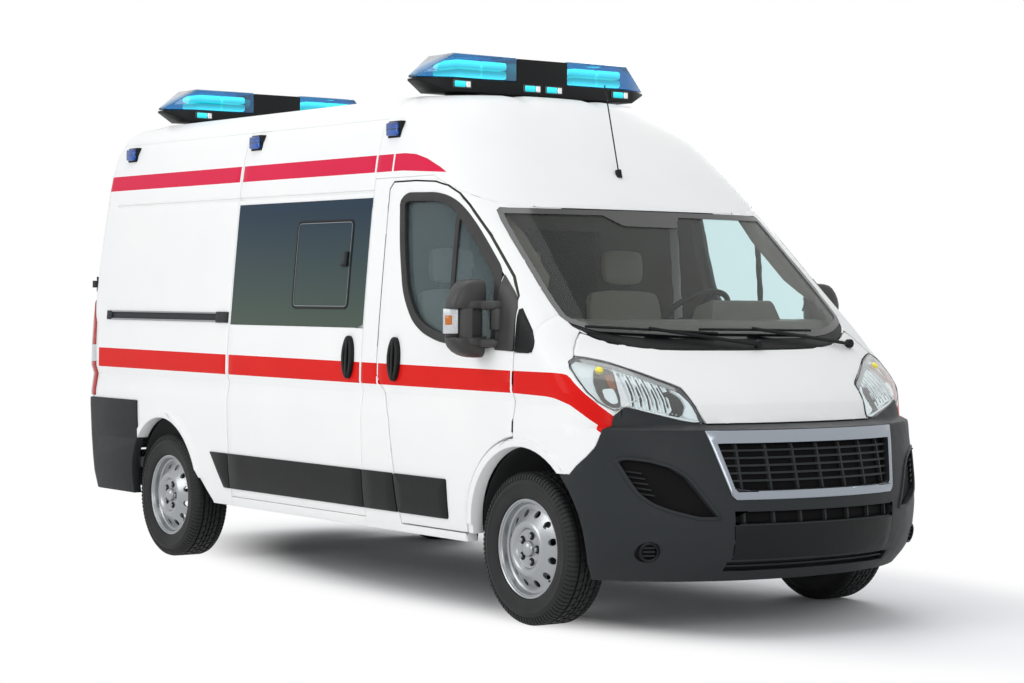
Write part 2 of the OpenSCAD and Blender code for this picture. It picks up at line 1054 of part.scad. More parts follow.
module beacon_bases() {
  color("dimgray") from_axle()
    difference() {
      union() {
        for (x = BARS)
          translate([x, 0, roof_height]) {
            both_sides()
              bar_section(16, 84, -20, bar_half - 136, bar_half, 74, bar_deep - 12);
            translate([6 - bar_deep / 2, -162, 80])
              cube([bar_deep - 12, 324, bar_top - 86]);
            for (s = [-1, 1])
              translate([-60, s * 430 - 60, -30])
                cube([120, 120, 60]);
          }
        for (x = SIDE_LAMPS)
          both_sides()
            translate([x - 55, -side_lamp_y - 14, tall(2330) - 42])
              cube([110, 80, 84]);
      }
      body_cut(-seat, 15, TOP);
    }
}

SIDE_LAMPS = [-1227, -2602, rear_x - 632];
side_lamp_y = half - 130;

module beacon_lenses() {
  color("royalblue") from_axle() {
    for (x = BARS)
      translate([x, 0, roof_height])
        both_sides()
          bar_section(84 + seat, bar_top - 1, 162 + seat, bar_half - 180, bar_half - 4, 90 + seat,
            bar_deep - 16);
    for (x = SIDE_LAMPS)
      both_sides()
        translate([x - 45, -side_lamp_y - 14 - seat - 22, tall(2330) - 32])
          cube([90, 22, 64]);
  }
}

module antenna() {
  color("black") from_axle()
    difference() {
      union() {
        translate([-566, 0, tall(2095)])
          rotate([0, -15, 0])
            cylinder(r = 16, h = 40);
        translate([-566, 0, tall(2100)])
          rotate([0, -15, 0])
            cylinder(r = 3.5, h = 480);
      }
      body_cut(-seat, 13, TOP);
    }
}

// Point on the nose at a half width and height
function nose_at(r, y) = let (u = abs(y) / side_w(r, 0))
  r[2] - y * y / (2 * r[3]) - r[4] * round_off(u, r[5]);
function on_nose(y, z) = let (i = row_at(z), a = BODY[i], b = BODY[i + 1],
  k = (z - a[0]) / (b[0] - a[0])) [nose_at(a, y) * (1 - k) + nose_at(b, y) * k, y, z];

// Wiper blades: start and end across the screen with their heights
BLADES = [[230 - half, tall(1358), -96, tall(1326)], [-187, tall(1345), half - 496, tall(1338)]];

module wipers() {
  color("black") from_axle()
    difference() {
      for (b = BLADES)
        for (k = [0:5]) {
          y0 = b[0] + (b[2] - b[0]) * k / 6;
          y1 = b[0] + (b[2] - b[0]) * (k + 1) / 6;
          z0 = b[1] + (b[3] - b[1]) * k / 6;
          z1 = b[1] + (b[3] - b[1]) * (k + 1) / 6;
          hull() {
            translate(on_nose(y0, z0) + [6, 0, 6])
              sphere(9, $fn = 12);
            translate(on_nose(y1, z1) + [6, 0, 6])
              sphere(9, $fn = 12);
          }
        }
      body_cut(-seat, 10, 15);
    }
}

// Under and inside
module floor_pan() {
  color("gray") from_axle()
    difference() {
      union() {
        intersection() {
          union() {
            block([tail_x + 70, -half, 480], [-front_door_back - 10, half, 540]);
            block([-front_door_back - 11, -half + 100, 480], [-440, half - 100, 540]);
          }
          body_form(wall + seat, 2, 5);
        }
        block([-441, -floor_half, 480], [180, floor_half, 540]);
        block([176, -floor_half, 480], [200, floor_half, 1200]);
        block([176, -half + 135, 850], [200, half - 135, 1200]);
        intersection() {
          both_sides()
            block([176, 305 - half, 1195], [300, 335 - half, 1285]);
          body_form(bonnet_t + 0.5, 10, 12);
        }
      }
      both_sides()
        translate([rear_x - 35, 15 - rear_housing_in, 398])
          rotate([90, 0, 0])
            cylinder(r = rear_arch_r + 18 + seat, h = 500, $fn = 64);
    }
}

// Inner faces of the wheel housings, out from the middle
front_housing_in = front_half_track - 334;
rear_housing_in = rear_half_track - 293;
// Half width of the floor between the front housings
floor_half = front_housing_in - 6;

// Jacking pads along the rails
JACK_X = [-900, rear_x + 750];

// Leaf springs: half length and bend radius
spring_half = 700;
spring_bend = 4000;

module chassis() {
  color("dimgray") from_axle() {
    both_sides() {
      block([rear_x - 850, -510, 385], [480, -430, 480 - seat]);
      for (x = [rear_x - spring_half - 60 - seat, rear_x + spring_half + seat])
        block([x, -580, 400], [x + 60, -505, 480 - seat]);
      for (x = JACK_X)
        block([x - 60, -505, 370], [x + 60, -435, 390]);
    }
    for (x = [rear_x - 780, rear_x - 200, rear_x + 420, rear_x + 1250, -1300, -500, 260])
      block([x, -430, 390], [x + 80, 430, 445]);
  }
}

module housing(x, r, inner_y) {
  difference() {
    translate([x, -inner_y, 398])
      rotate([90, 0, 0])
        cylinder(r = r + 18, h = half - 95 - inner_y, $fn = 64);
    translate([x, -inner_y - 10, 398])
      rotate([90, 0, 0])
        cylinder(r = r + 8, h = 800, $fn = 64);
    block([x - 600, -half - 100, -200], [x + 600, 0, 390]);
  }
}

module wheel_housings() {
  color("dimgray") from_axle()
    both_sides()
      intersection() {
        union() {
          housing(15, front_arch_r, front_housing_in);
          housing(rear_x - 35, rear_arch_r, rear_housing_in);
        }
        body_form(wall + 2, 1, 8);
      }
}

module bulkhead() {
  color("gainsboro") from_axle()
    difference() {
      intersection() {
        block([-1300, -half, 540 + seat], [-1262, half, gutter_z]);
        body_form(wall + 0.5, 2, 18);
      }
      block([-1400, -420, tall(1380)], [-1200, 420, tall(1850)]);
    }
}

// Steering column, tilted back from the upright
column_tilt = 40;
STEER = [-460, half - 620, 1410];

module on_column() {
  translate(STEER)
    rotate([0, -column_tilt, 0])
      children();
}

module dashboard() {
  color("dimgray") from_axle() {
    intersection() {
      rotate([90, 0, 0])
        linear_extrude(body_width - 260, center = true)
          polygon([[-60, 960], [175.5, 940], [175.5, 1230], [150, 1330], [60, 1385],
            [-100, 1395], [-190, 1370], [-215, 1240], [-200, 1180], [-190, 1020]]);
      body_form(wall + 5, 7, 14);
    }
    hull() {
      for (p = [[-200, 1428], [-110, 1452]])
        translate([p[0], STEER[1] + 190, p[1]])
          rotate([90, 0, 0])
            cylinder(r = 34, h = 380);
      block([-212, STEER[1] - 230, 1340], [-60, STEER[1] + 230, 1375]);
    }
    on_column()
      translate([0, 0, -410])
        cylinder(r = 30, h = 392);
    on_column()
      translate([0, 0, -30])
        cylinder(r = 12, h = 40);
  }
}

// Seats: inner and outer edge across the cab
bench_w = half - 195;
SEATS = [[190 - half, 190 - half + bench_w / 2], [205 - half + bench_w / 2, 10], [230, half - 315]];

module seats() {
  color("dimgray") from_axle()
    for (s = SEATS) {
      w = s[1] - s[0];
      translate([-1000, s[0], 540 + seat])
        cube([440, w, 269.4]);
      translate([-1060, s[0], 810])
        cube([560, w, 130]);
      translate([-1060, s[0], 930])
        rotate([0, -12, 0])
          cube([120, w, 620]);
      translate([-1170, s[0] + w / 2 - 130, 1560])
        cube([90, 260, 190]);
    }
}

module steering_wheel() {
  color("black") from_axle()
    on_column()
      difference() {
        union() {
          rotate_extrude($fn = 48)
            translate([185, 0])
              circle(15);
          translate([0, 0, -16])
            cylinder(r = 60, h = 30);
          for (a = [0, 120, 240])
            rotate([0, 0, a])
              translate([30, -14, -8])
                cube([145, 28, 16]);
        }
        translate([0, 0, -40])
          cylinder(r = 12 + running, h = 80);
      }
}

module engine() {
  color("gray") from_axle()
    block([205, -400, 445 + seat], [640, 400, 860]);
}

module front_suspension() {
  color("dimgray") from_axle()
    both_sides() {
      difference() {
        union() {
          block([-40, -kingpin_y - 30, 190], [40, -430, 215]);
          block([-40, -kingpin_y - 30, 485], [40, -556 - seat, 508]);
        }
        translate([0, -kingpin_y, 100])
          cylinder(r = 14 + running, h = 500);
      }
      block([-60, -520, 190], [60, -440, 385 - seat]);
      translate([0, -640, 215])
        cylinder(r = 32, h = 600);
    }
}

module knuckle(right) {
  color("gray") from_axle()
    mirror([0, right ? 0 : 1, 0]) {
      translate([0, -kingpin_y, 185])
        cylinder(r = 14, h = 330);
      translate([0, -kingpin_y, 222])
        cylinder(r = 34, h = 256);
      translate([0, -kingpin_y, tyre_r])
        rotate([90, 0, 0])
          cylinder(r = spindle_r, h = front_half_track - kingpin_y + 80);
    }
}

module knuckle_right() {
  knuckle(true);
}

module knuckle_left() {
  knuckle(false);
}

module rear_axle() {
  color("dimgray") from_axle() {
    translate([rear_x, rear_half_track + 70, tyre_r])
      rotate([90, 0, 0])
        cylinder(r = spindle_r, h = 2 * rear_half_track + 140);
    translate([rear_x, rear_half_track - 130, tyre_r])
      rotate([90, 0, 0])
        cylinder(r = 34, h = 2 * rear_half_track - 260);
    both_sides()
      intersection() {
        translate([rear_x, -520, tyre_r + 30 + spring_bend])
          rotate([90, 0, 0])
            difference() {
              cylinder(r = spring_bend, h = 60);
              translate([0, 0, -1])
                cylinder(r = spring_bend - 30, h = 62);
            }
        block([rear_x - spring_half, -600, 300], [rear_x + spring_half, -500, 475]);
      }
  }
}

module underbody() {
  color("dimgray") from_axle() {
    block([-1700, 530, 260], [-800, half - 145, 480 - seat]);
    translate([rear_x - 480, 0, 230])
      cylinder(r = 320, h = 160 - seat);
    translate([-520, -620, 450 - seat])
      rotate([0, -90, 0])
        cylinder(r = 30, h = wheelbase - 1250);
  }
}

// Wheels stand on the origin of their hub, outer side to +Y
module tyre() {
  w = tyre_w / 2;
  color("black") from_axle()
    rotate([90, 0, 0])
      rotate_extrude($fn = 64)
        polygon([[rim_r - 6 + seat, -79], [rim_r + 1, -84], [rim_r + 2, -92],
          [rim_r + 22, -w + 6], [rim_r + 62, -w],
          [tyre_r - 34, -w + 10], [tyre_r - 8, -w + 26], [tyre_r, -w + 48], [tyre_r, w - 48],
          [tyre_r - 8, w - 26], [tyre_r - 34, w - 10], [rim_r + 62, w], [rim_r + 22, w - 6],
          [rim_r + 2, 92], [rim_r + 1, 84], [rim_r - 6 + seat, 79]]);
}

module rim() {
  color("silver") from_axle()
    difference() {
      rotate([-90, 0, 0])
        rotate_extrude($fn = 64)
          polygon([[spindle_r + running, 38], [86, 38], [98, 58], [112, 63], [122, 57],
            [150, 36], [186, 22], [198, 8], [198, -70], [rim_r - 10, -92], [rim_r, -92],
            [rim_r, -84], [rim_r - 6, -80], [rim_r - 6, 80], [rim_r, 84], [rim_r, 92],
            [rim_r - 8, 92], [rim_r - 17, 82], [rim_r - 20, 44], [198, 33], [188, 34],
            [152, 48], [126, 70], [112, 76], [100, 74], [88, 54], [spindle_r + running, 54]]);
      for (a = [0:30:330])
        rotate([0, a, 0])
          translate([170, 100, 0])
            rotate([90, 0, 0])
              cylinder(r = 18, h = 96);
    }
}

module place(front, right) {
  translate([front ? 0 : rear_x, (right ? -1 : 1) * (front ? front_half_track : rear_half_track),
    tyre_r])
    mirror([0, right ? 1 : 0, 0])
      children();
}

module tyre_front_right() {
  place(true, true)
    tyre();
}

module tyre_front_left() {
  place(true, false)
    tyre();
}

module tyre_rear_right() {
  place(false, true)
    tyre();
}

module tyre_rear_left() {
  place(false, false)
    tyre();
}

module rim_front_right() {
  place(true, true)
    rim();
}

module rim_front_left() {
  place(true, false)
    rim();
}

module rim_rear_right() {
  place(false, true)
    rim();
}

module rim_rear_left() {
  place(false, false)
    rim();
}

roof_panel();
roof_cap();
quarter_panel_right();
side_panel_left();
sliding_door();
cab_frame();
front_fenders();
bonnet();
front_bumper();
grille();
grille_surround();
cowl_panel();
windscreen();
front_door_right();
front_door_left();
front_glass_right();
front_glass_left();
front_fittings_right();
front_fittings_left();
side_glass();
rear_door_right();
rear_door_left();
rear_glass_right();
rear_glass_left();
rear_fittings_right();
rear_fittings_left();
headlamps();
tail_lamps();
side_trim();
rear_bumper();
beacon_bases();
beacon_lenses();
antenna();
wipers();
floor_pan();
chassis();
wheel_housings();
bulkhead();
dashboard();
seats();
steering_wheel();
engine();
front_suspension();
knuckle_right();
knuckle_left();
rear_axle();
underbody();
door_hinges();
tyre_front_right();
tyre_front_left();
tyre_rear_right();
tyre_rear_left();
rim_front_right();
rim_front_left();
rim_rear_right();
rim_rear_left();
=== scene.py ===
"""Looks of the ambulance: paint, glass, lamps, trim, wheels, cabin and studio, built round the solids."""

import math

import bmesh
import bpy
from bpy.props import FloatProperty, IntProperty, PointerProperty
from bpy.types import Operator, Panel, PropertyGroup
from mathutils import Matrix, Vector
from mathutils.bvhtree import BVHTree


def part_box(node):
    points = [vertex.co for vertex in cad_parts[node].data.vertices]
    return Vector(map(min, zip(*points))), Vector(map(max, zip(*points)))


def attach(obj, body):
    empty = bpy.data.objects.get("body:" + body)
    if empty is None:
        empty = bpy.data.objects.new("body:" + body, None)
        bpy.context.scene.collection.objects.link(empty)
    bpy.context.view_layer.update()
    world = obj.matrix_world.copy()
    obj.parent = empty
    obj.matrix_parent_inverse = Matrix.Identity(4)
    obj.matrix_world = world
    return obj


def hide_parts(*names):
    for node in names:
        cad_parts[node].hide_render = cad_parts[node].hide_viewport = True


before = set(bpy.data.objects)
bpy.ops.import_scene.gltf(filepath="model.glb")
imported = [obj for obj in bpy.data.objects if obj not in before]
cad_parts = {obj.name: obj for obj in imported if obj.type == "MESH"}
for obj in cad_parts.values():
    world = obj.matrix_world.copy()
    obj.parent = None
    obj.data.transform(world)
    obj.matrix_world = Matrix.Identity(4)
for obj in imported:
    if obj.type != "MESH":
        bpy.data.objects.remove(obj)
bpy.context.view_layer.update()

bl_info = {
    "name": "Ambulance dressing",
    "version": (1, 0, 0),
    "blender": (4, 5, 0),
    "location": "3D View > Sidebar > Ambulance",
    "description": "Dresses the ambulance solids with paint, glass, lamps, trim and a studio",
    "category": "Object",
}

# Places are given in millimetres from the front axle: x forward, y to the left, z up from the road.
MM = 0.001
FRONT_WHEEL = [(a + b) / 2 for a, b in zip(*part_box("tyre_front_right"))]
REAR_WHEEL = [(a + b) / 2 for a, b in zip(*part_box("tyre_rear_right"))]
AXLE_X = FRONT_WHEEL[0]
REAR_AXLE = (REAR_WHEEL[0] - AXLE_X) / MM
TYRE_R = FRONT_WHEEL[2] / MM
HALF_TRACK = {"front": -FRONT_WHEEL[1] / MM, "rear": -REAR_WHEEL[1] / MM}
HALF_WIDTH = 1025.0
TAIL_X = -4425.0
ROOF_Z = 2524.0
SLIDE_FRONT, SLIDE_REAR = -1341.0, -2712.0
BAR_PLACES = (-1335.0, REAR_AXLE - 610.0)
SIDE_LAMPS = (-1227.0, -2602.0, REAR_AXLE - 632.0)

# Edges flatter than this are shaded smooth
SMOOTH_ANGLE = math.radians(35)

# Materials by short name, and the body form with its slopes and search tree, filled as the script runs
FINISH = {}
GUIDE = {}


# Sizes and colours


class PaintSettings(PropertyGroup):
    """Finish of the painted body."""

    orange_peel: FloatProperty(
        name="Orange peel", description="Size of the ripple in the sprayed paint", default=2.2, unit="NONE")
    edge: FloatProperty(
        name="Panel edge", description="Radius of the folded panel edges", default=0.0025, unit="LENGTH")


class LampSettings(PropertyGroup):
    """Brightness of the lit warning lamps."""

    glow: FloatProperty(
        name="Warning glow", description="Light given off by the lit warning modules", default=1.6)


class WheelSettings(PropertyGroup):
    """Counts on the wheels."""

    bolts: IntProperty(name="Bolts", description="Wheel bolts", default=5, min=4, max=6)


class StudioSettings(PropertyGroup):
    """Camera and light."""

    lens: FloatProperty(name="Lens", description="Focal length of the camera", default=82.53, unit="CAMERA")
    key: FloatProperty(name="Key light", description="Power of the large light beside the van", default=250.0)
    fill: FloatProperty(name="Fill light", description="Power of the lights ahead, above and behind", default=175.0)
    sky: FloatProperty(name="Surround", description="Brightness of the white surround", default=0.62)


def settings(group):
    """One group of the scene's settings."""
    return getattr(bpy.context.scene, "ambulance_" + group)


# Small tools


def at(x, y, z):
    """A place given in millimetres from the front axle, in metres in the frame."""
    return Vector((AXLE_X + x * MM, y * MM, z * MM))


def fresh():
    """Object mode with nothing selected."""
    if bpy.context.object and bpy.context.object.mode != "OBJECT":
        bpy.ops.object.mode_set(mode="OBJECT")
    bpy.ops.object.select_all(action="DESELECT")


def take(obj):
    """Only this object selected and active."""
    fresh()
    obj.select_set(True)
    bpy.context.view_layer.objects.active = obj
    return obj


def edit(obj, select="SELECT"):
    """Edit mode on one object, with all or nothing selected."""
    take(obj)
    bpy.ops.object.mode_set(mode="EDIT")
    bpy.ops.mesh.select_all(action=select)


def leave():
    """Back to object mode."""
    bpy.ops.object.mode_set(mode="OBJECT")


def modify(obj, kind, **values):
    """Adds a modifier with its settings and applies it."""
    take(obj)
    mod = obj.modifiers.new(kind.title(), kind)
    for key, value in values.items():
        setattr(mod, key, value)
    bpy.ops.object.modifier_apply(modifier=mod.name)
    return obj


def eased(obj, width, segments=2):
    """Rounds the sharp edges of a piece by some millimetres."""
    return modify(obj, "BEVEL", width=width * MM, segments=segments, limit_method="ANGLE",
                  angle_limit=math.radians(40), use_clamp_overlap=False)


def settle(obj):
    """Leaves the object at the origin, with its place in its mesh."""
    take(obj)
    bpy.ops.object.transform_apply(location=True, rotation=True, scale=True)
    return obj


def outward(obj):
    """Merges doubled points and turns every face outward."""
    edit(obj)
    bpy.ops.mesh.remove_doubles(threshold=0.00002)
    bpy.ops.mesh.normals_make_consistent(inside=False)
    leave()
    return obj


def join(parts):
    """One object from several."""
    fresh()
    for p in parts:
        p.select_set(True)
    bpy.context.view_layer.objects.active = parts[0]
    bpy.ops.object.join()
    return parts[0]


def copy_of(obj):
    """A copy with its own mesh."""
    twin = obj.copy()
    twin.data = obj.data.copy()
    bpy.context.scene.collection.objects.link(twin)
    return twin


def mirrored(obj):
    """A copy on the other side of the vehicle."""
    twin = copy_of(obj)
    take(twin)
    twin.scale = (1, -1, 1)
    settle(twin)
    edit(twin)
    bpy.ops.mesh.flip_normals()
    leave()
    return twin


def both(obj):
    """The piece and its mirror image as one object."""
    return join([obj, mirrored(obj)])


def done(obj, name, finish, body="van_body", stands_for=()):
    """Names, paints and smooths a finished piece and lets it ride on its body."""
    settle(obj)
    bpy.ops.object.shade_smooth_by_angle(angle=SMOOTH_ANGLE)
    obj.name = name
    obj.data.name = name
    obj.data.materials.clear()
    obj.data.materials.append(FINISH[finish])
    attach(obj, body)
    if stands_for:
        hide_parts(*stands_for)
    return obj


def box(lo, hi, edge=0.0, segments=3):
    """A block between two corners in millimetres, with rounded edges."""
    fresh()
    size = [(b - a) * MM for a, b in zip(lo, hi)]
    bpy.ops.mesh.primitive_cube_add(size=1, location=at(*[(a + b) / 2 for a, b in zip(lo, hi)]))
    obj = bpy.context.object
    obj.scale = size
    settle(obj)
    if edge:
        modify(obj, "BEVEL", width=edge * MM, segments=segments, limit_method="NONE")
    return obj


def disc(place, radius, depth, axis="X", steps=32, edge=0.0):
    """A round along one axis, centred at a place in millimetres."""
    fresh()
    turn = {"X": (0, math.pi / 2, 0), "Y": (math.pi / 2, 0, 0), "Z": (0, 0, 0)}[axis]
    bpy.ops.mesh.primitive_cylinder_add(
        vertices=steps, radius=radius * MM, depth=depth * MM, location=at(*place), rotation=turn)
    obj = settle(bpy.context.object)
    if edge:
        modify(obj, "BEVEL", width=edge * MM, segments=2, limit_method="ANGLE", angle_limit=0.9)
    return obj


def loop_of(count, fill="NOTHING"):
    """A closed loop of points that are still to be placed."""
    fresh()
    bpy.ops.mesh.primitive_circle_add(vertices=count, fill_type=fill)
    return settle(bpy.context.object)


def sheet_through(rows):
    """A sheet through rows of points in millimetres."""
    across = len(rows[0])
    fresh()
    bpy.ops.mesh.primitive_grid_add(x_subdivisions=across - 1, y_subdivisions=len(rows) - 1, size=1)
    obj = settle(bpy.context.object)
    for k, vertex in enumerate(obj.data.vertices):
        vertex.co = at(*rows[k // across][k % across])
    return obj


def outline(points, plane, far=0.0, fill="NGON"):
    """A face from points in millimetres: plane XZ seen from the side, YZ from the front, XY from above."""
    obj = loop_of(len(points), fill)
    for vertex, p in zip(obj.data.vertices, points):
        vertex.co = at(*on_plane(p, plane, far))
    return obj


def on_plane(p, plane, far):
    """A point of an outline in a plane, with its third coordinate."""
    return {"XZ": (p[0], far, p[1]), "YZ": (far, p[0], p[1]), "XY": (p[0], p[1], far)}[plane]


def extrude(obj, x=0, y=0, z=0):
    """Gives a face depth, in millimetres."""
    edit(obj)
    bpy.ops.mesh.extrude_region_move(TRANSFORM_OT_translate={"value": (x * MM, y * MM, z * MM)})
    bpy.ops.mesh.select_all(action="SELECT")
    bpy.ops.mesh.normals_make_consistent(inside=False)
    leave()
    return obj


def rounded(points, radius, steps=5):
    """Corners of a closed outline turned into arcs."""
    out = []
    n = len(points)
    for i, p in enumerate(points):
        a, b, c = Vector(points[i - 1]), Vector(p), Vector(points[(i + 1) % n])
        u, v = (a - b), (c - b)
        r = min(radius, u.length * 0.45, v.length * 0.45)
        u.normalize()
        v.normalize()
        for k in range(steps + 1):
            t = k / steps
            out.append(tuple(b + u * r * (1 - t) ** 2 + v * r * t**2))
    return out


def resampled(points, step):
    """A closed outline with points no further apart than step."""
    out = []
    for i, p in enumerate(points):
        a, b = Vector(p), Vector(points[(i + 1) % len(points)])
        n = max(1, math.ceil((b - a).length / step))
        out += [tuple(a.lerp(b, k / n)) for k in range(n)]
    return out


def inset(points, width):
    """A closed outline moved inward by a width."""
    n = len(points)
    area = sum(points[i - 1][0] * points[i][1] - points[i][0] * points[i - 1][1] for i in range(n))
    side = 1 if area > 0 else -1
    out = []
    for i in range(n):
        a, b, c = Vector(points[i - 1]), Vector(points[i]), Vector(points[(i + 1) % n])
        u, v = (b - a).normalized(), (c - b).normalized()
        m = Vector((-u.y - v.y, u.x + v.x)) * side
        if m.length < 1e-6:
            m = Vector((-u.y, u.x)) * side
        m.normalize()
        reach = width / max(0.5, m.dot(Vector((-u.y, u.x)) * side))
        out.append(tuple(b + m * reach))
    return out


def band(points, inner, plane, far=0.0):
    """A flat ring between two outlines with the same number of points."""
    obj = outline(points, plane, far, "NOTHING")
    edit(obj)
    bpy.ops.mesh.extrude_region_move()
    leave()
    n = len(points)
    for vertex, p in zip(obj.data.vertices[n:], inner):
        vertex.co = at(*on_plane(p, plane, far))
    return obj


def gridded(obj, step, axes="xyz"):
    """Cuts a mesh by evenly spaced planes, so that it can follow a curved surface."""
    lo = [min(v.co[i] for v in obj.data.vertices) for i in range(3)]
    hi = [max(v.co[i] for v in obj.data.vertices) for i in range(3)]
    edit(obj)
    for axis in axes:
        i = "xyz".index(axis)
        normal = [0, 0, 0]
        normal[i] = 1
        n = int((hi[i] - lo[i]) / (step * MM))
        for k in range(1, n + 1):
            place = [0, 0, 0]
            place[i] = lo[i] + (hi[i] - lo[i]) * k / (n + 1)
            bpy.ops.mesh.select_all(action="SELECT")
            bpy.ops.mesh.bisect(plane_co=place, plane_no=normal)
    leave()
    return obj


def laid(obj, axis, lift):
    """Lays a flat piece on the body form along an axis, lifted off it by some millimetres, facing outward."""
    i = "XYZ".index(axis)
    outside = math.copysign(1, obj.data.vertices[0].co[i])
    modify(obj, "SHRINKWRAP", target=GUIDE["form"], wrap_method="PROJECT", offset=lift * MM,
           wrap_mode="ABOVE_SURFACE", use_negative_direction=True, use_positive_direction=True,
           **{"use_project_" + axis.lower(): True})
    if sum(face.normal[i] * face.area for face in obj.data.polygons) * outside < 0:
        edit(obj)
        bpy.ops.mesh.flip_normals()
        leave()
    return obj


def thick(obj, depth):
    """Gives a sheet its thickness in millimetres."""
    return modify(obj, "SOLIDIFY", thickness=depth * MM, offset=-1.0, use_even_offset=False)


def tube(points, radius, steps):
    """A round bar along points in millimetres."""
    fresh()
    bpy.ops.curve.primitive_nurbs_path_add()
    obj = bpy.context.object
    curve = obj.data
    curve.splines.clear()
    line = curve.splines.new("POLY")
    line.points.add(len(points) - 1)
    for p, q in zip(line.points, points):
        p.co = (*at(*q), 1)
    curve.dimensions = "3D"
    curve.bevel_depth = radius * MM
    curve.bevel_resolution = max(1, steps // 4 - 1)
    curve.use_fill_caps = True
    obj.location = (0, 0, 0)
    take(obj)
    bpy.ops.object.convert(target="MESH")
    return outward(bpy.context.object)


def lathe(profile, place, axis="Y", steps=64, aim=None):
    """A turned piece: (radius, along) in millimetres, spun about an axis through a place or turned to aim."""
    obj = loop_of(len(profile))
    for vertex, (r, a) in zip(obj.data.vertices, profile):
        vertex.co = {"Y": (0, a * MM, r * MM), "X": (a * MM, 0, r * MM), "Z": (r * MM, 0, a * MM)}[axis]
    edit(obj)
    turn = {"X": (1, 0, 0), "Y": (0, 1, 0), "Z": (0, 0, 1)}[axis]
    bpy.ops.mesh.spin(steps=steps, angle=math.tau, center=(0, 0, 0), axis=turn)
    bpy.ops.mesh.select_all(action="SELECT")
    bpy.ops.mesh.remove_doubles(threshold=0.00005)
    bpy.ops.mesh.normals_make_consistent(inside=False)
    leave()
    if aim:
        obj.rotation_mode = "QUATERNION"
        obj.rotation_quaternion = Vector((1, 0, 0)).rotation_difference(aim)
    obj.location = at(*place)
    return settle(obj)


def cad(node, edge=0.0):
    """A merged copy of a solid, ready to be dressed."""
    obj = copy_of(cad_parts[node])
    obj.parent = None
    obj.hide_render = obj.hide_viewport = False
    for key in list(obj.keys()):
        del obj[key]
    edit(obj)
    bpy.ops.mesh.remove_doubles(threshold=0.0001)
    bpy.ops.mesh.dissolve_limited(angle_limit=math.radians(0.5))
    leave()
    if edge:
        modify(obj, "BEVEL", width=edge * MM, segments=2, limit_method="ANGLE",
               angle_limit=math.radians(38), use_clamp_overlap=False)
    return obj


def dressed(node, name, finish, edge=0.0, body="van_body"):
    """A solid that needs only rounded edges and a finish."""
    return done(cad(node, edge), name, finish, body, [node])


# Materials


def linear(code):
    """An sRGB hex colour as linear RGBA."""
    rgb = [int(code[i:i + 2], 16) / 255 for i in (1, 3, 5)]
    return tuple(c / 12.92 if c <= 0.04045 else ((c + 0.055) / 1.055) ** 2.4 for c in rgb) + (1.0,)


def add_node(tree, kind, inputs=(), **values):
    """A shader node with its settings; an input is a number, a colour, a socket or another node."""
    node = tree.nodes.new("ShaderNode" + kind)
    for key, value in values.items():
        setattr(node, key, value)
    for key, value in dict(inputs).items():
        if isinstance(value, bpy.types.Node):
            value = next(socket for socket in value.outputs if socket.enabled)
        if isinstance(value, bpy.types.NodeSocket):
            tree.links.new(value, node.inputs[key])
        else:
            node.inputs[key].default_value = value
    return node


def blank_finish(name):
    """A new material with an empty tree and its object coordinates."""
    material = bpy.data.materials.new(name)
    material.use_nodes = True
    material.node_tree.nodes.clear()
    return material, material.node_tree, add_node(material.node_tree, "TexCoord").outputs["Object"]


def surfaced(material, shader):
    """The material with its shader as its surface."""
    add_node(material.node_tree, "OutputMaterial", {"Surface": shader})
    return material


def grained(name, dark, light, size_mm, rough, relief=0.15, relief_mm=0.2, **sockets):
    """A finish with a fine grain: mottled colour, uneven gloss and a shallow relief."""
    material, tree, place = blank_finish(name)
    noise = add_node(tree, "TexNoise", {"Vector": place, "Scale": 1000.0 / size_mm, "Detail": 2.0})
    broad = add_node(tree, "TexNoise", {"Vector": place, "Scale": 25.0 / size_mm, "Detail": 2.0})
    shader = add_node(tree, "BsdfPrincipled", {
        "Base Color": add_node(tree, "Mix", {0: noise, "A": linear(dark), "B": linear(light)}, data_type="RGBA"),
        "Roughness": add_node(tree, "MapRange", {0: broad, 3: rough * 0.85, 4: rough * 1.15}),
        "Normal": add_node(tree, "Bump", {"Height": noise, "Strength": relief, "Distance": relief_mm * MM}),
        **{key.replace("_", " "): value for key, value in sockets.items()}})
    return surfaced(material, shader)


# Red bands on the sides: their colours and their lower and upper edges as (x, z) in metres from the front axle.
# The lower one runs level and then sweeps down the wing; the upper one ends in a blade-shaped point.
BANDS = (
    ("#CF1713", "#DC201A",
     ((-4.29, 1.067), (-0.058, 1.059), (0.2, 1.053), (0.263, 1.046), (0.349, 1.022), (0.395, 0.994), (0.432, 0.962),
      (0.503, 0.903), (0.56, 0.86)),
     ((-4.29, 1.18), (-0.058, 1.161), (0.257, 1.161), (0.317, 1.155), (0.351, 1.121), (0.405, 1.079), (0.442, 1.043),
      (0.474, 1.01), (0.504, 0.977), (0.56, 0.92))),
    ("#CE1F44", "#D9264B",
     ((-4.35, 2.118), (-1.1, 2.118), (-0.752, 2.098)),
     ((-4.35, 2.205), (-1.1, 2.205), (-1.0, 2.196), (-0.9, 2.17), (-0.8, 2.126), (-0.752, 2.098))),
)
# Door and wall seams that the bands stop short of, and the window of x and z that the band curves are drawn in
BAND_SEAMS = (-0.062, -1.192, -1.35, -2.704, -2.722)
BAND_X, BAND_Z = (-4.4, 0.6), (0.8, 2.4)


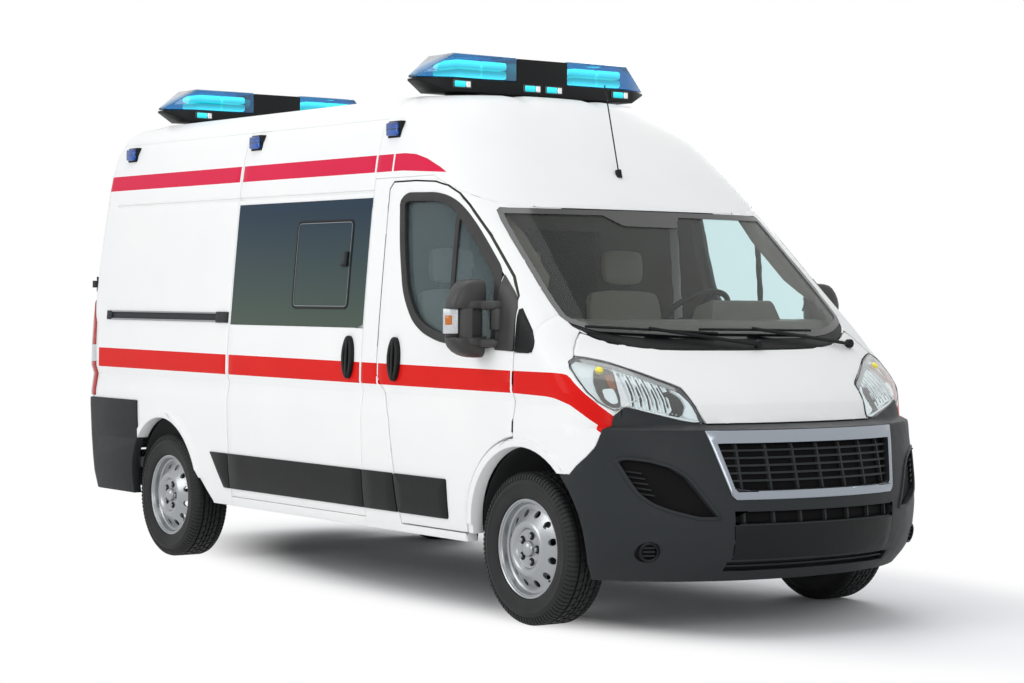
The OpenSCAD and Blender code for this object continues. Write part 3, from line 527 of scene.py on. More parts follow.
def white_paint():
    """Sprayed enamel over steel: clean white with two red bands, a soft ripple and a clear gloss."""
    material, tree, place = blank_finish("white_enamel_with_red_bands")
    split = add_node(tree, "SeparateXYZ", {0: place})
    x = add_node(tree, "Math", {0: split.outputs[0], 1: AXLE_X}, operation="SUBTRACT")
    along = add_node(tree, "MapRange", {0: x, 1: BAND_X[0], 2: BAND_X[1]})
    height = add_node(tree, "MapRange", {0: split.outputs[2], 1: BAND_Z[0], 2: BAND_Z[1]})
    cloud = add_node(tree, "TexNoise", {"Vector": place, "Scale": 2.4, "Detail": 2.0})
    colour = add_node(tree, "Mix", {0: cloud, "A": linear("#E9EAEA"), "B": linear("#F1F1EF")}, data_type="RGBA")
    for dark, light, *edges in BANDS:
        mask = None
        for edge, side in zip(edges, ("GREATER_THAN", "LESS_THAN")):
            drawn = add_node(tree, "FloatCurve", {"Value": along})
            curve = drawn.mapping.curves[0]
            for _ in edge[2:]:
                curve.points.new(0.5, 0.5)
            for k, (px, pz) in enumerate(edge):
                curve.points[k].location = (
                    (px - BAND_X[0]) / (BAND_X[1] - BAND_X[0]), (pz - BAND_Z[0]) / (BAND_Z[1] - BAND_Z[0]))
                curve.points[k].handle_type = "VECTOR"
            drawn.mapping.update()
            test = add_node(tree, "Math", {0: height, 1: drawn}, operation=side)
            mask = test if mask is None else add_node(tree, "Math", {0: mask, 1: test}, operation="MULTIPLY")
        ends = ((edges[0][0][0], "GREATER_THAN"), (edges[0][-1][0], "LESS_THAN"))
        for limit, side in ends:
            test = add_node(tree, "Math", {0: x, 1: limit}, operation=side)
            mask = add_node(tree, "Math", {0: mask, 1: test}, operation="MULTIPLY")
        for seam in BAND_SEAMS:
            near = add_node(tree, "Math", {0: x, 1: seam, 2: 0.007}, operation="COMPARE")
            mask = add_node(tree, "Math", {0: mask, 1: near}, operation="SUBTRACT", use_clamp=True)
        red = add_node(tree, "Mix", {0: cloud, "A": linear(dark), "B": linear(light)}, data_type="RGBA")
        colour = add_node(tree, "Mix", {0: mask, "A": colour, "B": red}, data_type="RGBA")
    ripple = add_node(tree, "TexNoise", {"Vector": place, "Scale": 1000.0 / settings("paint").orange_peel})
    shader = add_node(tree, "BsdfPrincipled", {
        "Base Color": colour, "Coat Weight": 0.05, "Coat Roughness": 0.05, "Specular IOR Level": 0.06,
        "Roughness": add_node(tree, "MapRange", {0: cloud, 3: 0.26, 4: 0.34}),
        "Normal": add_node(tree, "Bump", {"Height": ripple, "Strength": 0.03, "Distance": 0.05 * MM})})
    return surfaced(material, shader)


def clear_glass(name, tint, edge, clear=1.0):
    """Float glass: passes light with a faint, slightly cloudy tint and mirrors the studio at a glance."""
    material, tree, place = blank_finish(name)
    film = add_node(tree, "TexNoise", {"Vector": place, "Scale": 3.3})
    shader = add_node(tree, "BsdfPrincipled", {
        "Base Color": add_node(tree, "Mix", {0: film, "A": linear(tint), "B": linear(edge)}, data_type="RGBA"),
        "Transmission Weight": clear, "IOR": 1.2, "Roughness": 0.0})
    return surfaced(material, shader)


def dark_glass():
    """Privacy glass: deep tint, with a painted reflection that makes it blue-grey above and green-grey below, and a
    polished face.
    """
    material, tree, place = blank_finish("privacy_glass")
    height = add_node(tree, "SeparateXYZ", {0: place}).outputs[2]
    # painted reflection: green-grey low down, blue-grey higher up, as the sky and floor would show in the glass
    fade = add_node(tree, "MapRange", {0: height, 1: 1.35, 2: 1.95})
    film = add_node(tree, "TexNoise", {"Vector": place, "Scale": 3.3})
    shader = add_node(tree, "BsdfPrincipled", {
        "Base Color": add_node(tree, "Mix", {0: fade, "A": linear("#4C5B50"), "B": linear("#22394B")},
                               data_type="RGBA"),
        "Roughness": add_node(tree, "MapRange", {0: film, 3: 0.03, 4: 0.06}),
        "Transmission Weight": 0.2, "IOR": 1.3, "Specular IOR Level": 0.2})
    return surfaced(material, shader)


# Scale of a wave texture whose bands are one millimetre apart, divided by the real distance
WAVE_MM = 159.2


def lens_plastic(name, tint, rough=0.05, ribs_mm=0.0, clear=0.85):
    """Moulded polycarbonate lens: tinted through, glossy outside, with optic ribs inside."""
    material, tree, place = blank_finish(name)
    film = add_node(tree, "TexNoise", {"Vector": place, "Scale": 8.3})
    ribs = add_node(tree, "TexWave", {"Vector": place, "Scale": WAVE_MM / (ribs_mm or 1000.0)}, bands_direction="Y")
    shader = add_node(tree, "BsdfPrincipled", {
        "Base Color": linear(tint), "Transmission Weight": clear, "IOR": 1.49, "Coat Weight": 0.3,
        "Roughness": add_node(tree, "MapRange", {0: film, 3: rough, 4: rough + 0.03}),
        "Normal": add_node(tree, "Bump", {"Height": ribs.outputs["Fac"], "Strength": 0.35 if ribs_mm else 0.0,
                                          "Distance": 1.0 * MM})})
    return surfaced(material, shader)


def lit_module(name, dark, light, strength, row_mm=48.0):
    """Lit lamp optics: glowing blocks, brighter in the middle of each row of bulbs; on an unlit lamp the glow is
    painted light.
    """
    material, tree, place = blank_finish(name)
    wave = add_node(tree, "TexWave", {"Vector": place, "Scale": WAVE_MM / row_mm, "Distortion": 0.4},
                    bands_direction="Z")
    colour = add_node(tree, "Mix", {0: wave.outputs["Fac"], "A": linear(dark), "B": linear(light)},
                      data_type="RGBA")
    shader = add_node(tree, "BsdfPrincipled", {
        "Base Color": colour, "Emission Color": colour, "Emission Strength": strength, "Roughness": 0.3})
    return surfaced(material, shader)


def metal(name, dark, light, size_mm, rough):
    """Bare or plated metal with a fine mottle in its gloss."""
    material, tree, place = blank_finish(name)
    noise = add_node(tree, "TexNoise", {"Vector": place, "Scale": 1000.0 / size_mm, "Detail": 2.0})
    shader = add_node(tree, "BsdfPrincipled", {
        "Metallic": 1.0,
        "Base Color": add_node(tree, "Mix", {0: noise, "A": linear(dark), "B": linear(light)}, data_type="RGBA"),
        "Roughness": add_node(tree, "MapRange", {0: noise, 3: rough * 0.8, 4: rough * 1.2})})
    return surfaced(material, shader)


def seat_cloth():
    """Woven seat cloth: crossed threads, drawn 5 mm apart so that they show, with a soft sheen."""
    material, tree, place = blank_finish("woven_seat_cloth")
    warp = add_node(tree, "TexWave", {"Vector": place, "Scale": WAVE_MM / 5}, bands_direction="Y")
    weft = add_node(tree, "TexWave", {"Vector": place, "Scale": WAVE_MM / 5}, bands_direction="Z")
    weave = add_node(tree, "Math", {0: warp.outputs["Fac"], 1: weft.outputs["Fac"]}, operation="MULTIPLY")
    shader = add_node(tree, "BsdfPrincipled", {
        "Base Color": add_node(tree, "Mix", {0: weave, "A": linear("#6B675F"), "B": linear("#77736A")},
                               data_type="RGBA"),
        "Normal": add_node(tree, "Bump", {"Height": weave, "Strength": 0.08, "Distance": 0.4 * MM}),
        "Roughness": 0.9, "Sheen Weight": 0.3})
    return surfaced(material, shader)


def make_finishes():
    """Makes every material once."""
    glow = settings("lamp").glow
    FINISH.update(
        white=white_paint(),
        # moulded polypropylene, leather grain, pale where light rakes it
        bumper=grained("moulded_dark_polypropylene", "#25282A", "#303334", 1.6, 0.5, 0.15, 0.25,
                       Specular_IOR_Level=0.15),
        # black moulded plastic with a satin face
        black=grained("black_moulded_plastic", "#121314", "#1C1D1E", 1.2, 0.42, 0.1, 0.2, Specular_IOR_Level=0.15),
        # glossy black plastic and screen print
        gloss=grained("gloss_black_plastic", "#0B0C0D", "#121314", 3.0, 0.12, 0.02, 0.1, Coat_Weight=0.4),
        # extruded rubber seal
        rubber=grained("black_rubber_seal", "#141414", "#1E1E1E", 2.0, 0.62, 0.1, 0.2),
        # tyre rubber with road dust
        tyre=grained("tyre_rubber", "#131415", "#1D1E1F", 3.0, 0.66, 0.3, 0.5, Specular_IOR_Level=0.35),
        # bright plated trim
        chrome=metal("satin_chrome_plate", "#9197A0", "#999FA7", 3, 0.24),
        mirror=metal("silvered_mirror", "#D9DDE0", "#E2E5E7", 80, 0.03),
        # pressed steel wheels sprayed silver
        silver=grained("silver_wheel_enamel", "#989B9D", "#A7AAAC", 0.8, 0.3, 0.03, 0.1, Metallic=0.7),
        steel=metal("zinc_plated_steel", "#8C8F92", "#A4A7AA", 12, 0.35),
        iron=grained("chassis_black_enamel", "#202122", "#2C2D2E", 6.0, 0.6, 0.2, 0.4),
        cast=metal("cast_iron", "#4A4A4B", "#5E5D5C", 4, 0.5),
        screen=clear_glass("windscreen_glass", "#F4FAF6", "#F0F6F2"),
        side=clear_glass("side_glass", "#DEF6FC", "#DAF2F8", 0.96),
        privacy=dark_glass(),
        blue=lens_plastic("blue_lamp_lens", "#4FA4D4", 0.03, 0.0, 0.97),
        clear=lens_plastic("clear_lamp_lens", "#F3F6F7", 0.02, 0.0, 1.0),
        amber=lens_plastic("amber_lamp_lens", "#F08A1C", 0.08, 9.0, 0.6),
        red=lens_plastic("red_lamp_lens", "#C01414", 0.08, 9.0, 0.5),
        cyan=lit_module("lit_base_lamp", "#0FA9B4", "#35D6DE", glow * 0.6),
        # bulbs behind the blue lens: green-rich light, so that they reach the eye as cyan
        module=lit_module("lit_blue_module", "#0C9A84", "#8AF8D8", glow * 1.9),
        # nearly black and matt: painted shade in the unlit hollows it fills, and the dark of the bumper's seams
        void=grained("matt_black_hollow", "#08080A", "#101011", 4.0, 0.7, 0.05, 0.1, Specular_IOR_Level=0.1),
        cloth=seat_cloth(),
        dash=grained("grained_dashboard", "#393836", "#454441", 40.0, 0.6, 0.08, 0.3),
        liner=grained("pale_load_space_liner", "#B9BBBB", "#C6C8C7", 60.0, 0.8, 0.05, 0.2),
        # felted cab trim, warm grey
        trim=grained("warm_grey_cab_trim", "#3A3732", "#423F3A", 60.0, 0.9, 0.05, 0.2),
        bulb=lit_module("yellow_bulb_glass", "#D8C21C", "#F0E04A", 0.12),
        floor=grained("grey_floor_sheet", "#6A6D6F", "#7C7F80", 4.0, 0.7, 0.2, 0.4),
        # outer part of the headlamps: pearl plastic under the lens, with a faint painted glow standing in for light
        # that the lens keeps from it
        pearl=grained("pearl_lamp_bowl", "#E6F1F5", "#F4F9FA", 20, 0.2, 0.02, 0.1, Coat_Weight=0.3,
                     Emission_Color=linear("#E2F2F6"), Emission_Strength=0.3),
        smoke=grained("smoked_lamp_pocket", "#4A4640", "#6A655C", 16, 0.18, 0.05, 0.2, Metallic=0.5),
        # cells of the unlit side lamps: their glow is painted light
        cell=lit_module("unlit_blue_cells", "#1B62B5", "#3F9BE8", 0.7),
        # mirror shells: grained dark plastic, warmer than the bumpers
        mirror_shell=grained("grained_mirror_shell", "#262626", "#333231", 1.4, 0.48, 0.2, 0.25),
        # moulded clear lens with a frosted back
        frost=grained("frosted_clear_lens", "#A9ADB0", "#D0D3D5", 9.0, 0.15, 0.2, 0.6, Coat_Weight=0.5),
        reflector=metal("vacuum_plated_reflector", "#E6E8EA", "#F4F5F6", 40, 0.08),
    )


# The body's form

# One row a height: height, inset of the side, reach of the nose, bow radius, corner depth and power,
# inset of the tail
FORM = (
    (246, 75, 828, 2600, 420, 2.5, 60), (330, 45, 900, 2600, 430, 2.5, 20),
    (430, 30, 938, 2500, 430, 2.5, 0), (520, 20, 948, 2400, 425, 2.5, 0),
    (650, 10, 930, 2400, 415, 2.5, 0), (840, 1, 880, 2600, 400, 2.5, 0),
    (917, 1, 850, 2800, 380, 2.5, 0), (935, 3, 748, 3200, 330, 2.6, 0),
    (1022, 16, 684, 3800, 270, 2.9, 0), (1072, 0, 632, 4200, 250, 3.1, 0),
    (1190, 2, 470, 5000, 215, 3.6, 0), (1262, 7, 352, 6000, 210, 4.2, 0),
    (1335, 12, 271, 6500, 230, 4.6, 0), (1600, 34, -24, 6500, 290, 5, 7),
    (1911, 63, -372, 6500, 300, 5, 37), (2108, 84, -574, 6200, 330, 4.6, 57),
    (2250, 107, -722, 6000, 350, 4.2, 73), (2330, 130, -808, 6000, 360, 4, 84),
    (2390, 158, -876, 6000, 370, 3.8, 96), (2440, 195, -938, 6000, 380, 3.5, 111),
    (2480, 250, -1000, 6000, 380, 3.2, 131), (2500, 330, -1048, 6000, 380, 3, 156),
    (2512, 480, -1096, 6000, 380, 3, 196), (2520, 720, -1150, 6000, 380, 3, 246),
    (2524, 930, -1230, 6000, 400, 3, 336),
)
TAIL_CORNER = 70.0
NOSE_STEPS, SIDE_STEPS, TAIL_STEPS = 36, 30, 10


def slopes(column):
    """Slopes of a curve through the rows that never overshoots."""
    h = [FORM[i + 1][0] - FORM[i][0] for i in range(len(FORM) - 1)]
    d = [(FORM[i + 1][column] - FORM[i][column]) / h[i] for i in range(len(h))]
    out = [d[0]]
    for i in range(1, len(h)):
        same = d[i - 1] * d[i] > 0
        out.append(2 * d[i - 1] * d[i] / (d[i - 1] + d[i]) if same else 0.0)
    return out + [d[-1]]


def form_row(z):
    """The form's values at any height."""
    z = max(FORM[0][0], min(FORM[-1][0], z))
    i = max(k for k in range(len(FORM) - 1) if FORM[k][0] <= z)
    h = FORM[i + 1][0] - FORM[i][0]
    t = (z - FORM[i][0]) / h
    row = []
    for c in range(1, 7):
        a, b, m = FORM[i][c], FORM[i + 1][c], GUIDE["slopes"][c]
        row.append(a * (1 + 2 * t) * (1 - t) ** 2 + b * t * t * (3 - 2 * t)
                   + h * (m[i] * t * (1 - t) ** 2 - m[i + 1] * t * t * (1 - t)))
    return row


def form_ring(z, shrink=1.0):
    """Half outline of the body at a height, from the middle of the nose to the middle of the tail."""
    side, nose, bow, depth, power, tail = form_row(z)
    w = (HALF_WIDTH - side) * shrink
    points = []
    for k in range(NOSE_STEPS + 1):
        u = math.sin(k / NOSE_STEPS * math.pi / 2)
        round_off = 1 - max(0.0, 1 - u**power) ** (1 / power)
        points.append((nose - (w * u) ** 2 / (2 * bow) - depth * round_off, w * u))
    x = TAIL_X + tail
    c = min(TAIL_CORNER, w / 2)
    front = points[-1][0]
    points += [(front + (x + c - front) * k / SIDE_STEPS, w) for k in range(1, SIDE_STEPS)]
    for k in range(TAIL_STEPS + 1):
        a = k / TAIL_STEPS * math.pi / 2
        points.append((x + c - c * math.sin(a), w - c + c * math.cos(a)))
    points += [(x, (w - c) * (1 - k / 6)) for k in range(1, 7)]
    return points


def nose_at(y, z):
    """Reach of the body's nose at a place across and a height, in millimetres from the axle."""
    side, nose, bow, depth, power, tail = form_row(z)
    u = abs(y) / (HALF_WIDTH - side)
    return nose - y * y / (2 * bow) - depth * (1 - max(0.0, 1 - u**power) ** (1 / power))


class AMBULANCE_OT_form(Operator):
    """Builds the smooth form of the body that the panels and trim are laid on"""

    bl_idname = "ambulance.form"
    bl_label = "Body form"

    def execute(self, context):
        GUIDE["slopes"] = {c: slopes(c) for c in range(1, 7)}
        heights = []
        for low, high in zip(FORM, FORM[1:]):
            n = max(2, round((high[0] - low[0]) / 26))
            heights += [low[0] + (high[0] - low[0]) * k / n for k in range(n)]
        heights.append(FORM[-1][0])
        rings = [(z, form_ring(z)) for z in heights]
        rings.append((FORM[-1][0] + 0.2, form_ring(FORM[-1][0], 0.001)))
        obj = both(sheet_through([[(x, -y, z) for x, y in half] for z, half in rings]))
        outward(obj)
        bpy.ops.object.shade_smooth()
        obj.name = "form"
        obj.hide_render = True
        GUIDE["form"] = obj
        GUIDE["tree"] = BVHTree.FromObject(obj, context.evaluated_depsgraph_get())
        return {"FINISHED"}


# Raised fields of the roof: height, reach to the side, where the valleys between them lie, and the widths of the
# valleys and of the fields' soft edges
RIB_HIGH, RIB_REACH, RIB_VALLEY, RIB_VALLEY_WIDE, RIB_EDGE = 12.0, 690.0, 236.0, 42.0, 90.0
# Where the fields begin to rise, by height and by distance from the tail, each with the length of the rise
RIB_FROM_Z, RIB_FROM_TAIL = (2440.0, 60.0), (260.0, 120.0)
# The bonnet's crease: a point on it and its direction (x, y), then the height and width of the step, how soon it
# sinks back behind the crease, and where it ends and over what length
CREASE_AT, CREASE_ALONG = (284.0, 677.0), (0.586, -0.811)
CREASE_HIGH, CREASE_WIDE, CREASE_SINK, CREASE_END, CREASE_FADE = 9.0, 36.0, 110.0, 330.0, 160.0


def ramp(value, start, length):
    """Rises evenly from 0 at a start to 1 a length further on."""
    return max(0.0, min(1.0, (value - start) / length))


def smooth(t):
    """A ramp with eased ends."""
    return t * t * (3 - 2 * t)


def roof_rib(x, y, z):
    """How far the roof's raised fields stand over the form at a place, in millimetres."""
    field = 1 - math.exp(-((abs(y) - RIB_VALLEY) / RIB_VALLEY_WIDE) ** 2)
    edge = ramp(-abs(y), -RIB_REACH - RIB_EDGE, RIB_EDGE)
    return RIB_HIGH * field * smooth(edge) * ramp(z, *RIB_FROM_Z) * ramp(x - TAIL_X, *RIB_FROM_TAIL)


def bonnet_rise(x, y, z):
    """How far the bonnet stands up behind its crease at a place, in millimetres."""
    ahead, out = x - CREASE_AT[0], abs(y) - CREASE_AT[1]
    across = CREASE_ALONG[1] * ahead - CREASE_ALONG[0] * out
    along = CREASE_ALONG[0] * ahead + CREASE_ALONG[1] * out
    step = ramp(across, -CREASE_WIDE / 2, CREASE_WIDE)
    fade = ramp(-along, -CREASE_END, CREASE_FADE)
    return CREASE_HIGH * smooth(step) * math.exp(-max(0.0, across) / CREASE_SINK) * fade


def skinned(node, step=70, axes="xz", edge=2.5, depth=0.0, relief=None):
    """A body panel: a copy of the solid whose outer face is drawn onto the smooth form."""
    obj = cad(node)
    gridded(obj, step, axes)
    tree = GUIDE["tree"]
    group = obj.vertex_groups.new(name="skin")
    skin = [vertex.index for vertex in obj.data.vertices
            if abs(tree.find_nearest(vertex.co)[3] - depth * MM) < 0.007]
    group.add(skin, 1.0, "REPLACE")
    modify(obj, "SHRINKWRAP", target=GUIDE["form"], wrap_method="NEAREST_SURFACEPOINT",
           wrap_mode="INSIDE" if depth else "ON_SURFACE", offset=depth * MM, vertex_group="skin")
    obj.vertex_groups.clear()
    if relief:
        for index in skin:
            co = obj.data.vertices[index].co
            co.z += relief((co.x - AXLE_X) / MM, co.y / MM, co.z / MM) * MM
    if edge:
        eased(obj, edge)
    return obj


def lined(obj, finish, depth=44.0, facing=0.0):
    """Trims the inner face of a panel: faces deeper under the skin than this that face inward."""
    obj.data.materials.append(FINISH[finish])
    for face in obj.data.polygons:
        hit = GUIDE["tree"].find_nearest(face.center)
        if hit[3] > depth * MM and face.normal.dot((face.center - hit[0]).normalized()) > facing:
            face.material_index = 1
    return obj


def pillared(obj, finish, depth=8.0, belt=1.24):
    """Trims a cab panel: its inner face, and all that lies under the skin above the window line."""
    lined(obj, finish, depth, 0.5)
    for face in obj.data.polygons:
        if face.center.z > belt and GUIDE["tree"].find_nearest(face.center)[3] > depth * MM:
            face.material_index = 1
    return obj


# Where mouldings are laid: plane of their outline, how far out it is drawn and the axis they are laid along
LAID_ON = {"side": ("XZ", -1400.0, "Y"), "nose": ("YZ", 1400.0, "X"), "tail": ("YZ", -5000.0, "X")}


def moulded(sheet, where, lift, depth, edge):
    """Lays a flat sheet on the body, gives it its depth and rounds its edges."""
    laid(sheet, LAID_ON[where][2], lift)
    outward(thick(sheet, depth))
    return eased(sheet, edge) if edge else sheet


def plate(where, points, lift, depth, step, edge):
    """A moulding laid on the body: lift off the skin, depth and grid step in millimetres."""
    plane, far, _ = LAID_ON[where]
    sheet = gridded(outline(resampled(points, step), plane, far), step, plane.lower())
    return moulded(sheet, where, lift, depth, edge)


def ring(where, points, width, lift, depth, edge, step):
    """A ring of even width laid on the body."""
    plane, far, _ = LAID_ON[where]
    outer = resampled(points, step)
    return moulded(band(outer, inset(outer, width), plane, far), where, lift, depth, edge)


def side_plate(points, lift, depth, step=90.0, edge=1.5):
    """A moulding on the right side."""
    return plate("side", points, lift, depth, step, edge)


def nose_plate(points, lift, depth, step=70.0, edge=1.5):
    """A moulding on the nose."""
    return plate("nose", points, lift, depth, step, edge)


def nose_pair(name, finish, points, *sizes, stands_for=()):
    """A finished moulding on both halves of the nose."""
    done(both(nose_plate(points, *sizes)), name, finish, stands_for=stands_for)


def side_ring(points, width, lift, depth, edge=1.5, step=45.0):
    """A ring on the right side."""
    return ring("side", points, width, lift, depth, edge, step)


def tail_ring(points, width, lift, depth):
    """A ring on the tail."""
    return ring("tail", points, width, lift, depth, 1.5, 60.0)


def oval(x, z, a, b, steps=40):
    """Points of an upright oval."""
    return [(x + a * math.cos(math.tau * k / steps), z + b * math.sin(math.tau * k / steps))
            for k in range(steps)]


def oblong(x0, z0, x1, z1):
    """Corners of an upright oblong."""
    return (x0, z0), (x1, z0), (x1, z1), (x0, z1)


def two_sided(points):
    """A half outline, y from the middle out, closed over both sides."""
    return list(points) + [(-y, z) for y, z in reversed(points) if y > 0]


# Panels


class AMBULANCE_OT_panels(Operator):
    """Paints the outer panels, rounds their edges and trims their inner faces"""

    bl_idname = "ambulance.panels"
    bl_label = "Body panels"

    def execute(self, context):
        edge = settings("paint").edge / MM
        for node, body, axes, trim in (
            ("roof_panel", "van_body", "xyz", "liner"), ("roof_cap", "van_body", "xyz", "trim"),
            ("quarter_panel_right", "van_body", "xz", "liner"), ("side_panel_left", "van_body", "xz", "liner"),
            ("sliding_door", "van_body", "xz", "liner"), ("cab_frame", "van_body", "xyz", "dash"),
            ("front_fenders", "van_body", "xyz", "trim"), ("bonnet", "bonnet", "xyz", None),
            ("front_door_right", "front_door_right", "xz", "trim"),
            ("front_door_left", "front_door_left", "xz", "trim"),
            ("rear_door_right", "rear_door_right", "yz", "liner"),
            ("rear_door_left", "rear_door_left", "yz", "liner"),
        ):
            relief = roof_rib if node.startswith("roof") else bonnet_rise if node == "bonnet" else None
            obj = skinned(node, 40 if relief else 70, axes, edge, relief=relief)
            done(obj, "painted_" + node, "white", body, [node])
            if trim:
                (pillared if "cab" in node or "front_door" in node else lined)(obj, trim)
        seam = side_plate(oblong(SLIDE_REAR, 2376, SLIDE_FRONT, 2402), -2.5, 5, 120, 0.0)
        done(seam, "sliding_door_roof_seal", "white")
        return {"FINISHED"}


# Outline of the hollow in the right half of the front bumper (y, z)
SCOOP = ((-903, 781), (-878, 790), (-800, 779), (-724, 754), (-668, 711), (-628, 651), (-584, 582),
         (-554, 539), (-634, 540), (-737, 570), (-799, 599), (-843, 641), (-871, 700))


class AMBULANCE_OT_bumpers(Operator):
    """Moulds the dark bumpers, rubbing strips and corner pieces"""

    bl_idname = "ambulance.bumpers"
    bl_label = "Bumpers and strips"

    def execute(self, context):
        done(skinned("front_bumper", 60, "xyz", 3.0), "front_bumper_moulding", "bumper",
             stands_for=["front_bumper"])
        dressed("rear_bumper", "rear_bumper_moulding", "bumper", 4.0)
        dressed("cowl_panel", "cowl_moulding", "black", 2.0)
        bars = dressed("grille", "grille_bars", "bumper", 1.0)
        # the bars' faces deeper than 30 mm take the near-black finish: painted shade in the grille's depths
        lined(bars, "void", 30.0, -2.0)
        dressed("grille_surround", "grille_frame", "chrome", 5.0)
        # a near-black sheet at the back of each bumper hollow: painted shade
        nose_pair("bumper_scoops", "void", inset(SCOOP, 2), -20, 3, 40, 0.0)
        slats = []
        for k in range(5):
            z = 744 - 24 * k
            outer = -891 + 9.5 * k
            slat = ((outer, z), (outer + 62, z - 10), (outer + 62, z - 19), (outer, z - 9))
            slats.append(nose_plate(slat, -6, 12, 60, 1.5))
        done(both(join(slats)), "scoop_louvres", "black")
        rim = resampled(rounded(inset(SCOOP, -13), 24, 4), 30)
        brow = band(rim, inset(rim, 15), "YZ", LAID_ON["nose"][1])
        laid(brow, "X", 7.0)
        brow = eased(outward(thick(brow, 12)), 5, 3)
        done(both(brow), "scoop_brows", "bumper")
        seam = ((-484.5, 500), (-480, 500), (-467, 347), (-471.5, 347))
        nose_pair("bumper_seams", "void", seam, 0.6, 3, 60, 0.0)
        middle = nose_plate(((-480, 500), (480, 500), (467, 347), (-467, 347)), 2.0, 6, 60, 2.0)
        done(middle, "bumper_middle", "black")
        return {"FINISHED"}


# Half outline of the windscreen (y, z) and the front door window (x, z)
SCREEN = ((0, 1308), (476, 1311), (648, 1326), (740, 1346), (800, 1366), (846, 1385), (864, 1410),
          (868, 1470), (866, 1540), (857, 1651), (849, 1750), (838, 1858), (826, 1910), (805, 1922),
          (0, 1924))
DOOR_WINDOW = ((-1090, 1961), (-1060, 1990), (-1020, 2002), (-782, 1996), (-687, 1978), (-613, 1948),
               (-538, 1897), (-444, 1820), (-316, 1706), (-200, 1600), (-200, 1262), (-652, 1283),
               (-801, 1324), (-893, 1377), (-952, 1445), (-1001, 1527), (-1056, 1734))
# Rear window (y out from the middle, z) and the blank plate on the left rear door (y, z)
REAR_WINDOW = ((84, 1379), (842, 1379), (796, 1936), (84, 1936))
REAR_PLATE = oblong(170, 905, 700, 1023)
# Vent pane in the side glass (x, z)
VENT = oblong(-2056, 1430, -1500, 1888)


def flipped(obj):
    """The piece moved to the other side of the vehicle."""
    twin = mirrored(obj)
    bpy.data.objects.remove(obj)
    return twin


class AMBULANCE_OT_glazing(Operator):
    """Fits the glass with its seals, dark borders and dividing bars"""

    bl_idname = "ambulance.glazing"
    bl_label = "Glazing"

    def execute(self, context):
        pane = done(skinned("windscreen", 60, "yz", 0.0, 3.0), "windscreen_pane", "screen",
                    stands_for=["windscreen"])
        pane.visible_shadow = False  # the cab is lit straight through its glass
        rim = resampled(rounded(two_sided(SCREEN), 30, 3), 60)
        border = band(rim, inset(rim, 26), "YZ", LAID_ON["nose"][1])
        laid(border, "X", -1.0)
        border = thick(border, 3.0)
        shade = nose_plate(((-300, 1918), (-176, 1846), (150, 1843), (235, 1918)), -1.0, 3, 50, 0.0)
        top = nose_plate(oblong(-800, 1900, 800, 1918), -1.0, 3, 60, 0.0)
        done(join([border, shade, top]), "windscreen_border", "gloss")
        for name, side in (("right", 1), ("left", -1)):
            body = "front_door_" + name
            pane = dressed("front_glass_" + name, "front_door_pane_" + name, "side", body=body)
            pane.visible_shadow = False
            seal = side_ring(rounded(inset(DOOR_WINDOW, -6), 70, 4), 44, 3.0, 26, 3.0)
            bar = side_plate(((-618, 1290), (-586, 1288), (-586, 1934), (-618, 1946)), -12, 14, 120, 2.0)
            seal = join([seal, bar])
            done(seal if side > 0 else flipped(seal), "door_window_seal_" + name, "rubber", body)
            dressed("rear_glass_" + name, "rear_door_pane_" + name, "privacy", body="rear_door_" + name)
            window = rounded([(-side * y, z) for y, z in REAR_WINDOW], 30, 4)
            done(tail_ring(window, 26, 3.0, 8), "rear_window_seal_" + name, "rubber", "rear_door_" + name)
        surround = tail_ring(rounded(REAR_PLATE, 8, 3), 12, 6.0, 6)
        done(surround, "blank_plate_frame", "black", "rear_door_left")
        blank = plate("tail", inset(REAR_PLATE, 10), 4.0, 5, 90.0, 1.0)
        done(blank, "blank_plate", "frost", "rear_door_left")
        dressed("side_glass", "side_panes", "privacy")
        vent = rounded(VENT, 40, 4)
        frame_bar = join([
            side_ring(vent, 9, 4.0, 8, 1.5),
            side_plate(oblong(-1560, 1650, -1528, 1722), 12, 10, 60, 2.0),
            side_plate(oblong(-1590, 1648, -1528, 1660), 14, 10, 60, 1.0),
        ])
        done(both(frame_bar), "vent_pane_frames", "black")
        done(both(side_ring(inset(vent, 13), 3, 3.0, 5, 0.0)), "vent_pane_edges", "steel")
        return {"FINISHED"}


# Outline of the right headlamp (y, z)
HEADLAMP = ((-913, 1233), (-954, 1211), (-966, 1180), (-966, 1132), (-957, 1078), (-928, 1037), (-893, 1010),
            (-864, 997), (-829, 1016), (-776, 998), (-687, 973), (-606, 951), (-545, 942), (-500, 946),
            (-514, 997), (-527, 1052), (-536, 1092), (-558, 1105), (-632, 1138), (-706, 1172), (-779, 1203),
            (-857, 1224))
# Lower and upper edge of the clear field in the tail lamps
TAIL_FIELD = (1096.0, 1196.0)
# Pocket of the indicator, what is in it, and the post between it and the reflector (y, z)
INDICATOR = ((-881, 1171), (-866, 1191), (-823, 1197), (-790, 1184), (-812, 1140), (-825, 1101), (-844, 1022),
             (-875, 1014), (-909, 1039), (-916, 1090), (-902, 1140))
INDICATOR_OPTIC = ((-892, 1100), (-842, 1104), (-850, 1036), (-874, 1030), (-898, 1056))
INDICATOR_GLOW = ((-846, 1162), (-806, 1166), (-830, 1100), (-856, 1106))
LAMP_POST = ((-792, 1183), (-780, 1180), (-814, 1100), (-832, 1026), (-844, 1024), (-828, 1100))
# Edges of the headlamp's reflector from its outer to its inner end (y, z)
REFLECTOR_TOP = ((-782, 1180), (-725, 1166), (-678, 1153), (-622, 1131), (-566, 1106), (-540, 1064),
                 (-524, 1007), (-512, 955))
REFLECTOR_FOOT = ((-838, 1024), (-793, 1010), (-745, 999), (-691, 989), (-640, 979), (-571, 961), (-512, 951))
